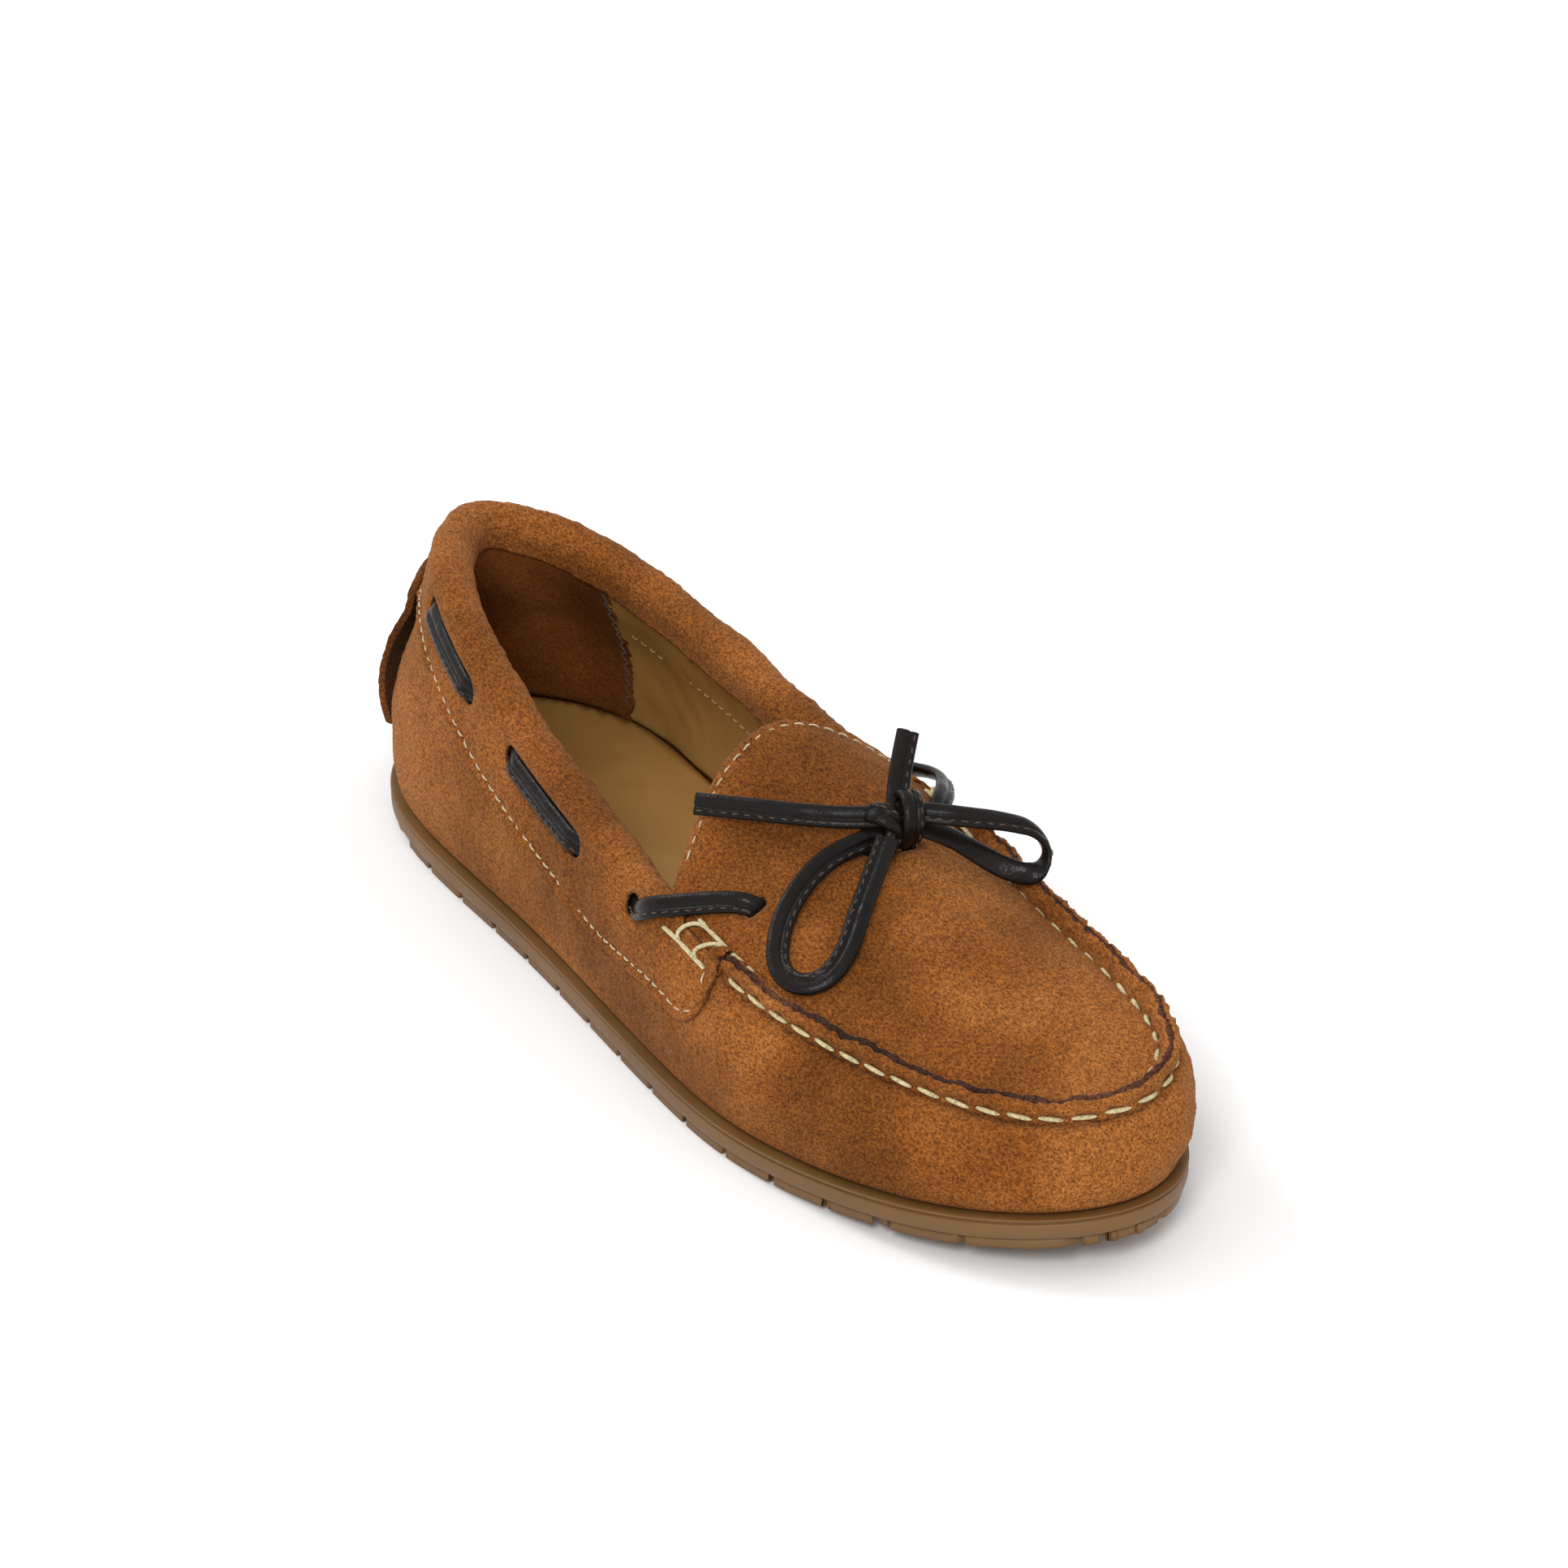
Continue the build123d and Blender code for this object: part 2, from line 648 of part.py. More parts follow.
# From each eyelet over the seam, down through the apron's side hole, across under the tongue
# and up through the middle hole into the knot.
tie_routes = {
    "lace_tie_lateral": [run_end(COUNT + RUN_END_LATERAL), on_wall(EYELET_LATERAL, LACE_BELOW, 0.6),
                         (-41, -15.5, 36.8), (-39, -24, 40.6), (-33.8, -32.5, 44.6),
                         (-28, -36.8, 47.5), (-24.2, -38, 45.4), (-21.5, -39.2, 40.7), (-12, -40.6, 43),
                         (-1.5, -41.2, 46), (3.6, -41.2, 48.8), (4, -41, 53.9)],
    "lace_tie_medial": [run_end(RUN_END_MEDIAL), on_wall(EYELET_MEDIAL, LACE_BELOW, 0.6),
                        on_wall(EYELET_MEDIAL - 0.14, LACE_BELOW, -4), (36.6, -9.5, 47.2),
                        (32, -18.5, 51.2), (27.6, -23.4, 51.2), (25.4, -25.8, 46.4), (22.6, -28.6, 42),
                        (16, -34.5, 43.6), (10.6, -40, 46.6), (9.2, -41, 49.4), (9, -41, 53.9)],
}
SIDE_HOLE_RADIUS = 3.0
SIDE_HOLES = ((-24.2, -38), (25.6, -25.6))

# Loops and cut ends of the bow, starting and finishing inside the knot.
bow_routes = {
    "lace_loop_lateral": [(4, -42.5, 56), (-3, -42, 55.2), (-11, -42.4, 53.8), (-19.5, -45.4, 50),
                          (-26.2, -50.1, 45), (-30, -56.6, 40.8), (-28.4, -62.8, 39.8),
                          (-23.6, -65.4, 41.6), (-18, -63.4, 45.4), (-11.9, -57.6, 49.5),
                          (-5.2, -51.6, 53), (1.6, -45.4, 56.4)],
    "lace_loop_medial": [(8, -42.5, 59.8), (14.2, -47.6, 59.4), (20.2, -50.2, 58.2), (25.8, -51.6, 56.6),
                         (31.2, -53.2, 54.2), (33.4, -55.8, 49.6), (28.8, -56.8, 45.8),
                         (24, -52.8, 47.4), (19.4, -48.8, 50.8), (14.8, -45.8, 54.2), (8.5, -43, 57)],
    "lace_end_lateral": [(4.5, -42, 59.2), (-3, -38.4, 59.2), (-9.8, -32.4, 59), (-16.8, -24, 58.4),
                         (-24, -14.4, 57.2)],
    "lace_end_medial": [(7.5, -39.5, 59.5), (9.4, -36.8, 62.2), (12, -33.7, 65.6), (15.5, -30.3, 70)],
}
with BuildPart(Plane(origin=KNOT)) as knot:
    Box(*KNOT_SIZE)
    fillet(knot.edges(), radius=KNOT_ROUNDING)
save(knot, "lace_knot")

for name, route in tie_routes.items():
    save(tube(route, LACE_TUBE), name)
for name, route in bow_routes.items():
    whole = tube(route, LACE_TUBE)
    with BuildPart() as strand:
        add(whole.part)
        add(knot.part, mode=Mode.SUBTRACT)
    save(strand, name)

for name, sheet in (("apron", apron), ("tongue_lining", tongue_lining)):
    with BuildPart() as pierced:
        add(sheet.part)
        with BuildSketch(Plane.XY.offset(35)):
            with Locations(*SIDE_HOLES):
                Circle(SIDE_HOLE_RADIUS)
            with Locations((KNOT[0], KNOT[1])):
                SlotOverall(11, 4.6)
        extrude(amount=40, mode=Mode.SUBTRACT)
    save(pierced, name)
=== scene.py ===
from math import cos, pi, radians, sin

import bpy
import numpy as np
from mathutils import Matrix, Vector


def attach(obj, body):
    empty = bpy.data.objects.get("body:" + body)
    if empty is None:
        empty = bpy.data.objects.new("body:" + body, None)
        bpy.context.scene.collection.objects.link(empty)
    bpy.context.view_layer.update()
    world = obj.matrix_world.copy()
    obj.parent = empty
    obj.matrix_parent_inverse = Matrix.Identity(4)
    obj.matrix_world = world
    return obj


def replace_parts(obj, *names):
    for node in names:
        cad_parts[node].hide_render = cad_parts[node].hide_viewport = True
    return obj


# A suede driving moccasin. Lengths in the shape functions are in millimetres, as in the CAD,
# and turn into metres where a mesh is made.
MM = 0.001
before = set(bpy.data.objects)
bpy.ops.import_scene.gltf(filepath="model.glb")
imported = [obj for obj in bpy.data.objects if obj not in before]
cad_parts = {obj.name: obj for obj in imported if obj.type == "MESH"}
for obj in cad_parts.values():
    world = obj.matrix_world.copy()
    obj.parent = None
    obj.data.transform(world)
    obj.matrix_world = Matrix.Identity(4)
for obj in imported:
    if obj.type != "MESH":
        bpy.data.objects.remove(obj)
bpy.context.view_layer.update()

# Stations round the last: outline x, outline y, height and inset of the top line.
STATIONS = np.array([
    (0, 130, 62, 11), (-18, 121.5, 62.5, 13), (-30, 102, 62.5, 13), (-34, 75, 58.5, 9),
    (-35, 45, 50, 7), (-37.5, 10, 44, 7), (-41, -32, 39, 7), (-40, -61.5, 35, 8.5),
    (-34, -88, 32, 11), (-24, -111, 30, 13), (-8.5, -127, 30, 13), (9, -130.5, 32, 9.5),
    (24, -121, 34, 5), (34.5, -102, 36, 6.5), (40, -75, 38, 10.5), (40.5, -45, 41, 11),
    (35.5, -12, 46.5, 7), (29.5, 20, 48, 4), (31, 50, 50, 5), (33, 78, 52, 8),
    (31, 102, 55, 10), (19, 121.5, 59, 10.5),
])
COUNT = len(STATIONS)
THROAT_LATERAL, THROAT_MEDIAL = 5.65, 16.2
TAB_LATERAL, TAB_MEDIAL = 6.35, 15.5
SOLE_TOP = 7.0
SUEDE, BAND, LINING = 1.6, 1.3, 1.1
WALL_TOTAL = 4.6
ROLL_RADIUS = 3.4
BAND_TURN_IN = 3.5
CORNER = 2.2
STITCH_PITCH = 6.2
LACE_BELOW = 3.8
WINDOWS = ((2.18, 3.36), (3.89, 4.91))
WINDOW_HALF = 2.75        # half the height of a window
EYELET_RADIUS = 2.5
EDGE_REACH = 0.42         # points this near an opening's edge are pulled on to it
EYELET_LATERAL, EYELET_MEDIAL = 5.47, 16.53
RUN_END_LATERAL, RUN_END_MEDIAL = 5.35, 16.65
HEEL_TAB_HALF = 1.05      # half the heel tab's width, in stations
HEEL_LINING_ENDS = (1.95, 20.05)
STEP = 0.75               # mesh size of the suede


# ---------------------------------------------------------------- the shape of the last
def periodic_cubic(values):
    """A smooth closed curve through values at whole stations."""
    values = np.asarray(values, float)
    n = len(values)
    bands = 4 * np.eye(n) + np.roll(np.eye(n), 1, 0) + np.roll(np.eye(n), -1, 0)
    slopes = np.linalg.solve(bands, 3 * (np.roll(values, -1) - np.roll(values, 1)))

    def curve(u, slope=False):
        i = np.floor(u).astype(int) % n
        j = (i + 1) % n
        t = u - np.floor(u)
        if slope:
            return ((6 * t * t - 6 * t) * (values[i] - values[j])
                    + (3 * t * t - 4 * t + 1) * slopes[i] + (3 * t * t - 2 * t) * slopes[j])
        return ((2 * t**3 - 3 * t * t + 1) * values[i] + (3 * t * t - 2 * t**3) * values[j]
                + (t**3 - 2 * t * t + t) * slopes[i] + (t**3 - t * t) * slopes[j])

    return curve


outline_x = periodic_cubic(STATIONS[:, 0])
outline_y = periodic_cubic(STATIONS[:, 1])
top_height = periodic_cubic(STATIONS[:, 2])
top_inset = periodic_cubic(STATIONS[:, 3])


def ramp(value, start, end):
    """0 before start, 1 after end, and smooth between."""
    t = np.clip((value - start) / (end - start), 0.0, 1.0)
    return t * t * (3 - 2 * t)


def between(u, start, full_first, full_last, end):
    """1 between two stations, falling smoothly to 0 outside."""
    u = u % COUNT
    return ramp(u, start, full_first) * (1 - ramp(u, full_last, end))


def collar_part(u):
    """1 round the collar and 0 along the apron's seam."""
    return 1 - between(u, 5.1, 6.0, 15.9, 16.8)


def roll_radius(u):
    """Radius of the collar's padded roll."""
    return 0.05 + (ROLL_RADIUS - 0.05) * collar_part(u)


def bulge(u):
    """How far the wall leans out as it rises from the sole."""
    heel = 0.16 * (1 - between(u, 0.5, 3.0, COUNT - 3.0, COUNT - 0.5))
    return 0.12 + heel + 0.18 * between(u, 5.5, 7.5, 14.5, 16.5) + 0.2 * between(u, 10.2, 12, 12.6, 14.2)


def sole_top(y):
    """Height of the rubber's upper face, sprung up at the toe and the heel."""
    toe = 7.5 * (np.maximum(-40.0 - y, 0) / 91.0) ** 2
    heel = (np.maximum(y - 95.0, 0) / 35.0) ** 2
    return SOLE_TOP + toe + heel


def lengths_along(path):
    """Distance of each point from the first one, along a path."""
    return np.concatenate([[0], np.cumsum(np.linalg.norm(np.diff(path, axis=0), axis=1))])


def read_columns(at, along, table):
    """Each column of a table read at some distances along it."""
    return np.column_stack([np.interp(at, along, column) for column in table.T])


def tangent(u):
    """Unit direction of the outline at a station, seen from above."""
    t = np.array([outline_x(u, True), outline_y(u, True)])
    return t / np.linalg.norm(t)


WALLS = {}


def wall_table(u):
    """The wall's outer face at a station: points, inward normals and distance below the top,
    the distance rising from the lining side over the roll and down the outer side."""
    key = round(float(u % COUNT), 5)
    if key in WALLS:
        return WALLS[key]
    u = np.float64(key)
    collar = collar_part(u)
    roll = roll_radius(u)
    height = top_height(u) - sole_top(outline_y(u)) - BAND * collar
    lean = radians(30 + 50 * collar + 25 * (1 - collar) * ramp(abs(u - 11), 2.5, 5))
    end = np.array([-top_inset(u) + roll * sin(lean), height - roll * (1 - cos(lean))])
    rise = np.array([-cos(lean), sin(lean)])
    start = np.array([-1.4, CORNER])
    reach = 0.38 * height
    low = start + np.array([bulge(u), 1.0]) * reach
    high = end - rise * reach
    t = np.linspace(0, 1, 60)[:, None]
    side = (1 - t)**3 * start + 3 * t * (1 - t)**2 * low + 3 * t * t * (1 - t) * high + t**3 * end
    inward = np.array([-sin(lean), -cos(lean)])
    centre = end + roll * inward
    turn = np.linspace(0, pi, 24)[1:, None]
    over = centre - roll * inward * np.cos(turn) + roll * rise * np.sin(turn)
    inside = over[-1] - rise * np.linspace(0, 12, 12)[1:, None]
    corner = start - CORNER
    turn = np.linspace(0, pi / 2, 8)[:-1, None]
    under = corner + CORNER * np.hstack([np.sin(turn), 1 - np.cos(turn)])
    margin = corner + np.hstack([np.linspace(-9, 0, 10)[:-1, None], np.zeros((9, 1))])
    bottom = np.vstack([margin, under])
    across = -tangent(u)[0]
    y = outline_y(u)
    bottom[:, 1] += sole_top(y + across * bottom[:, 0]) - sole_top(y) + 0.05
    points = np.vstack([bottom, side, over, inside])
    along = lengths_along(points)
    top = along[len(bottom) + len(side) - 1]
    slope = np.gradient(points, along, axis=0)
    slope /= np.linalg.norm(slope, axis=1)[:, None]
    normals = np.column_stack([-slope[:, 1], slope[:, 0]])
    WALLS[key] = points[::-1], normals[::-1], (top - along)[::-1], top - along[len(bottom)]
    return WALLS[key]


def wall_length(u):
    """Distance down the wall from the top line to the sole."""
    return wall_table(u)[3]


def to_world(u, across, up):
    """Coordinates in the upright plane of a station, outward and up, to the shoe's own."""
    t = tangent(u)
    y = outline_y(u)
    return np.column_stack([outline_x(u) + t[1] * across, y - t[0] * across, sole_top(y) + up])


def on_wall(u, below, depth=0.0):
    """Places on the wall at a station: distances below the top and depths inside the face."""
    points, normals, distance, _ = wall_table(u)
    below = np.atleast_1d(np.asarray(below, float))
    depth = np.broadcast_to(depth, below.shape)
    across = np.interp(below, distance, points[:, 0]) + depth * np.interp(below, distance, normals[:, 0])
    up = np.interp(below, distance, points[:, 1]) + depth * np.interp(below, distance, normals[:, 1])
    return to_world(u, across, up)


def wall_out(u, below):
    """Unit outward normal of the wall at one place."""
    d = on_wall(u, below, -1.0)[0] - on_wall(u, below, 0.0)[0]
    return d / np.linalg.norm(d)


def lining_depth(u, below):
    """Depth of the lining's outer side inside the wall's face."""
    return WALL_TOTAL + (np.maximum(2 * roll_radius(u), WALL_TOTAL) - WALL_TOTAL) * (1 - ramp(below, 0, 22))


def band_low(u):
    """Lower edge of the collar band, with the rounded corner at the front of each tab."""
    heel = 4.0 * (1 - between(u, 1.5, 4.0, 18.5, 20.5))
    u = u % COUNT
    ahead = u - (TAB_LATERAL - 0.3) if u < COUNT / 2 else TAB_MEDIAL + 0.3 - u
    share = np.clip(ahead / 0.3, 0.0, 1.0)
    return 16.5 - heel - 9.0 * (1 - np.sqrt(max(1 - share**2, 0)))


# ---------------------------------------------------------------- noise and mesh building
def ripple(points, wavelength, seed, waves=28):
    """Smooth random field of unit strength over points, of about one wavelength."""
    rng = np.random.default_rng(seed)
    directions = rng.normal(size=(waves, 3))
    directions /= np.linalg.norm(directions, axis=1)[:, None]
    sizes = 2 * pi / (wavelength * rng.uniform(0.7, 1.5, waves))
    phases = rng.uniform(0, 2 * pi, waves)
    return np.sin(points @ (directions * sizes[:, None]).T + phases).sum(axis=-1) * np.sqrt(2 / waves)


def nap(points, seed, strength=1.0):
    """Uneven rise of a suede face: slow lumps, small ones and single tufts."""
    tufts = np.random.default_rng(seed).normal(size=points.shape[:-1])
    return strength * (0.16 * ripple(points, 24, seed) + 0.09 * ripple(points, 7, seed + 1)
                       + 0.06 * ripple(points, 2.4, seed + 2) + 0.045 * tufts)


def add_object(name, data):
    """A new object in the scene."""
    piece = bpy.data.objects.new(name, data)
    bpy.context.scene.collection.objects.link(piece)
    return piece


def new_mesh(name, points, faces, materials, face_slots=None, smooth=True):
    """A mesh object from points in mm, riding on the shoe's one body."""
    mesh = bpy.data.meshes.new(name)
    mesh.from_pydata((np.asarray(points) * MM).tolist(), [], [list(map(int, f)) for f in faces])
    piece = add_object(name, mesh)
    for made_of in materials:
        mesh.materials.append(made_of)
    if face_slots is not None:
        mesh.polygons.foreach_set("material_index", np.asarray(face_slots, np.int32))
    mesh.polygons.foreach_set("use_smooth", np.full(len(mesh.polygons), smooth))
    mesh.validate()
    mesh.update()
    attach(piece, "root")
    return piece


def grid_cells(rows, columns, wrap=False):
    """Four-sided cells of a grid of points, closed into a ring if asked."""
    r = np.arange(rows if wrap else rows - 1)[:, None]
    c = np.arange(columns - 1)[None, :]
    a = r * columns + c
    b = ((r + 1) % rows) * columns + c
    return np.stack([a, b, b + 1, a + 1], axis=-1).reshape(-1, 4)


def thick_sheet(name, front, back, cells, materials, slot, edge_material=0, bulge_edge=0.0):
    """A sheet with a front and a back face over the same cells, closed along every free edge."""
    front, back = front.reshape(-1, 3), back.reshape(-1, 3)
    n = len(front)
    edges = np.concatenate([cells[:, [0, 1]], cells[:, [1, 2]], cells[:, [2, 3]], cells[:, [3, 0]]])
    free = edges[~np.isin(edges[:, 0] * n + edges[:, 1], edges[:, 1] * n + edges[:, 0])]
    used, place = np.unique(free, return_inverse=True)
    place = place.reshape(-1, 2)
    # a ring of points half way through the thickness rounds the edge
    middle = (front[used] + back[used]) / 2
    if bulge_edge:
        away = np.zeros_like(middle)
        for k in (0, 1):
            along = front[free[:, 1]] - front[free[:, 0]]
            across = back[free[:, k]] - front[free[:, k]]
            side = np.cross(across, along)
            side /= np.maximum(np.linalg.norm(side, axis=1), 1e-9)[:, None]
            np.add.at(away, place[:, k], side)
        away /= np.maximum(np.linalg.norm(away, axis=1), 1e-9)[:, None]
        middle = middle + away * bulge_edge
    m = 2 * n + place
    upper = np.column_stack([free[:, 1], free[:, 0], m[:, 0], m[:, 1]])
    lower = np.column_stack([m[:, 1], m[:, 0], free[:, 0] + n, free[:, 1] + n])
    faces = np.concatenate([cells, cells[:, ::-1] + n, upper, lower])
    kinds = np.concatenate([np.zeros(2 * len(cells)), np.full(2 * len(free), edge_material)])
    points = np.concatenate([front, back, middle])
    kept, faces = np.unique(faces, return_inverse=True)
    return new_mesh(name, points[kept], faces.reshape(-1, 4), materials, kinds)


def band_arrays(stations, tops, lows, columns, depth_front, depth_back):
    """Front and back points of a strip of the upper, one row at each station."""
    front, back = [], []
    for u, high, low in zip(stations, tops, lows):
        below = np.linspace(high, low, columns)
        front.append(on_wall(u, below, depth_front(u, below)))
        back.append(on_wall(u, below, depth_back(u, below)))
    return np.array(front), np.array(back)


def face_out(front, back):
    """Unit directions from a sheet's back to its front."""
    away = front - back
    return away / np.linalg.norm(away, axis=-1)[..., None]


def flat(depth):
    """A depth that is the same everywhere."""
    return lambda u, below: np.full_like(below, depth)


def stations_along(first, last, step=STEP):
    """Stations spaced evenly in mm along the outline."""
    fine = np.linspace(first, last, 3000)
    steps = np.hypot(np.diff(outline_x(fine)), np.diff(outline_y(fine)))
    along = np.concatenate([[0], np.cumsum(steps)])
    return np.interp(np.linspace(0, along[-1], int(along[-1] / step) + 1), along, fine)


# ---------------------------------------------------------------- materials
def material(name):
    """A new material, with its node tree and its shader."""
    made = bpy.data.materials.new(name)
    made.use_nodes = True
    tree = made.node_tree
    return made, tree, tree.nodes["Principled BSDF"]


def set_inputs(node, values):
    """Set a node's inputs to constants."""
    for name, value in values.items():
        node.inputs[name].default_value = value


def noise_node(tree, places, scale, detail=2.0, rough=0.55, stretch=None):
    """A noise value over the object."""
    node = tree.nodes.new("ShaderNodeTexNoise")
    set_inputs(node, {"Scale": scale, "Detail": detail, "Roughness": rough})
    if stretch:
        mapping = tree.nodes.new("ShaderNodeMapping")
        mapping.inputs["Scale"].default_value = stretch
        tree.links.new(places, mapping.inputs["Vector"])
        places = mapping.outputs["Vector"]
    tree.links.new(places, node.inputs["Vector"])
    return node.outputs["Fac"]


def colour_ramp(tree, value, stops):
    """A value turned into colours, by (position, colour) stops."""
    node = tree.nodes.new("ShaderNodeValToRGB")
    node.color_ramp.elements[0].position = stops[0][0]
    node.color_ramp.elements[0].color = (*stops[0][1], 1)
    node.color_ramp.elements[1].position = stops[-1][0]
    node.color_ramp.elements[1].color = (*stops[-1][1], 1)
    for position, colour in stops[1:-1]:
        node.color_ramp.elements.new(position).color = (*colour, 1)
    tree.links.new(value, node.inputs["Fac"])
    return node.outputs["Color"]


def blend_colour(tree, kind, share, one, two):
    """Two colours blended into one."""
    node = tree.nodes.new("ShaderNodeMix")
    node.data_type = "RGBA"
    node.blend_type = kind
    node.inputs["Factor"].default_value = share
    tree.links.new(one, node.inputs["A"])
    tree.links.new(two, node.inputs["B"])
    return node.outputs["Result"]


def bump(tree, shader, heights):
    """Chain of bumps: height output, strength, distance in metres."""
    before = None
    for height, strength, distance in heights:
        node = tree.nodes.new("ShaderNodeBump")
        set_inputs(node, {"Strength": strength, "Distance": distance})
        tree.links.new(height, node.inputs["Height"])
        if before is not None:
            tree.links.new(before, node.inputs["Normal"])
        before = node.outputs["Normal"]
    tree.links.new(before, shader.inputs["Normal"])


def suede(name, deep, mean, light, speck=0.75, sheen=0.1):
    """Brushed leather: slow patches, mottling of a few mm, and a fine fibrous grain."""
    made, tree, shader = material(name)
    places = tree.nodes.new("ShaderNodeTexCoord").outputs["Object"]
    patches = colour_ramp(tree, noise_node(tree, places, 26, 2, 0.5),
                          [(0.36, deep), (0.5, mean), (0.64, light)])
    mottle = colour_ramp(tree, noise_node(tree, places, 420, 2, 0.6),
                         [(0.3, (0.82, 0.8, 0.78)), (0.5, (1, 1, 1)), (0.72, (1.14, 1.15, 1.17))])
    grain_value = noise_node(tree, places, 2000, 2.0, 0.8, (1.0, 0.6, 1.0))
    grain = colour_ramp(tree, grain_value, [(0.35, (0.28, 0.22, 0.18)), (0.5, (1.0, 0.98, 0.96)),
                                            (0.66, (1.85, 1.95, 2.1))])
    colour = blend_colour(tree, "MULTIPLY", 0.6, patches, mottle)
    colour = blend_colour(tree, "MULTIPLY", speck, colour, grain)
    tree.links.new(colour, shader.inputs["Base Color"])
    set_inputs(shader, {"Roughness": 0.95, "Specular IOR Level": 0.12, "Sheen Weight": sheen,
                        "Sheen Roughness": 0.45, "Sheen Tint": (1.0, 0.62, 0.34, 1)})
    bump(tree, shader, [(noise_node(tree, places, 420, 2, 0.6), 0.5, 0.0003),
                        (grain_value, 0.9, 0.0003)])
    return made


def smooth_leather(name, deep, light, roughness=0.42, grain=0.25, scale=900, shine=0.3):
    """Finished leather: a pebbled grain and an uneven gloss."""
    made, tree, shader = material(name)
    places = tree.nodes.new("ShaderNodeTexCoord").outputs["Object"]
    colour = colour_ramp(tree, noise_node(tree, places, 45, 4, 0.6), [(0.3, deep), (0.7, light)])
    tree.links.new(colour, shader.inputs["Base Color"])
    shader.inputs["Specular IOR Level"].default_value = shine
    cells = tree.nodes.new("ShaderNodeTexVoronoi")
    cells.feature = "DISTANCE_TO_EDGE"
    cells.inputs["Scale"].default_value = scale
    tree.links.new(places, cells.inputs["Vector"])
    wear = colour_ramp(tree, noise_node(tree, places, 160, 3, 0.6),
                       [(0.3, (roughness - 0.08,) * 3), (0.7, (roughness + 0.1,) * 3)])
    tree.links.new(wear, shader.inputs["Roughness"])
    bump(tree, shader, [(cells.outputs["Distance"], grain, 0.0002),
                        (noise_node(tree, places, 260, 3, 0.6), grain, 0.0004)])
    return made


def rubber(name, deep, light):
    """Crepe rubber, slightly see-through at its edges."""
    made, tree, shader = material(name)
    places = tree.nodes.new("ShaderNodeTexCoord").outputs["Object"]
    colour = colour_ramp(tree, noise_node(tree, places, 30, 4, 0.6), [(0.3, deep), (0.7, light)])
    tree.links.new(colour, shader.inputs["Base Color"])
    wear = colour_ramp(tree, noise_node(tree, places, 120, 4, 0.6), [(0.3, (0.42,) * 3), (0.7, (0.6,) * 3)])
    tree.links.new(wear, shader.inputs["Roughness"])
    set_inputs(shader, {"Specular IOR Level": 0.4, "Subsurface Weight": 0.08, "Subsurface Scale": 0.004})
    bump(tree, shader, [(noise_node(tree, places, 1400, 2, 0.5), 0.15, 0.0001),
                        (noise_node(tree, places, 90, 2, 0.5), 0.2, 0.0004)])
    return made


def thread(name, deep, light):
    """Twisted thread with fine strands."""
    made, tree, shader = material(name)
    places = tree.nodes.new("ShaderNodeTexCoord").outputs["Object"]
    strands = noise_node(tree, places, 1500, 3, 0.7)
    colour = colour_ramp(tree, strands, [(0.32, deep), (0.62, light)])
    tree.links.new(colour, shader.inputs["Base Color"])
    set_inputs(shader, {"Roughness": 0.75, "Sheen Weight": 0.2})
    bump(tree, shader, [(strands, 0.7, 0.0002)])
    return made


suede_tan = suede("suede_tan", (0.122, 0.037, 0.0055), (0.184, 0.058, 0.0095), (0.262, 0.092, 0.02))
suede_band = suede("suede_band", (0.138, 0.042, 0.0065), (0.192, 0.0615, 0.0105), (0.25, 0.086, 0.018))
# dark suede of the heel tab; on the collar band's cut edges it is painted shade along the band's step and
# round its openings
suede_dark_and_edge_shade = suede("suede_dark_and_edge_shade", (0.085, 0.026, 0.005), (0.125, 0.04, 0.009), (0.17, 0.057, 0.014))
suede_heel_lining = suede("suede_heel_lining", (0.075, 0.021, 0.003), (0.125, 0.038, 0.006),
                          (0.19, 0.065, 0.013), 0.4, 0.02)
# near-black suede: the ridge's cut faces, and painted shade in the gap along the ridge and in the curl's hole
cut_edge_and_shade = suede("suede_cut_edge", (0.018, 0.009, 0.006), (0.04, 0.018, 0.012), (0.09, 0.036, 0.02),
                 0.8, 0.02)
lining_leather = smooth_leather("lining_leather", (0.28, 0.145, 0.036), (0.34, 0.18, 0.048), 0.5, 0.08)
lace_leather = smooth_leather("lace_leather", (0.004, 0.003, 0.0027), (0.009, 0.0065, 0.0055),
                              0.3, 0.4, 1100, 0.16)
gum = rubber("gum_rubber", (0.12, 0.056, 0.013), (0.165, 0.08, 0.021))
thick_thread = thread("thick_thread", (0.26, 0.2, 0.08), (0.6, 0.53, 0.29))
fine_thread = thread("fine_thread", (0.3, 0.22, 0.11), (0.56, 0.46, 0.27))
brown_thread = thread("brown_thread", (0.03, 0.014, 0.007), (0.09, 0.045, 0.022))
board = rubber("fibre_board", (0.3, 0.22, 0.14), (0.36, 0.27, 0.18))


# ---------------------------------------------------------------- upper
FIRST_STITCH = TAB_LATERAL + 0.1
LAST_STITCH = TAB_MEDIAL - 0.05
seam_fine = np.linspace(5.0, 17.0, 1600)
seam_line = np.array([on_wall(u, 0.4, 0.0)[0] for u in seam_fine])
seam_along = lengths_along(seam_line)


def seam_length(u):
    """Distance along the seam to a station."""
    return np.interp(u % COUNT, seam_fine, seam_along)


def seam_stations(first, last, pitch):
    """Stations one pitch apart along the seam, the first half a pitch in."""
    ends = seam_length(first), seam_length(last)
    return np.interp(np.arange(ends[0] + pitch / 2, ends[1], pitch), seam_along, seam_fine)


def stitch_phase(u):
    """1 between two hand stitches and -1 at the middle of one."""
    return -np.cos(2 * pi * (seam_length(u) - seam_length(FIRST_STITCH) - STITCH_PITCH / 2) / STITCH_PITCH)


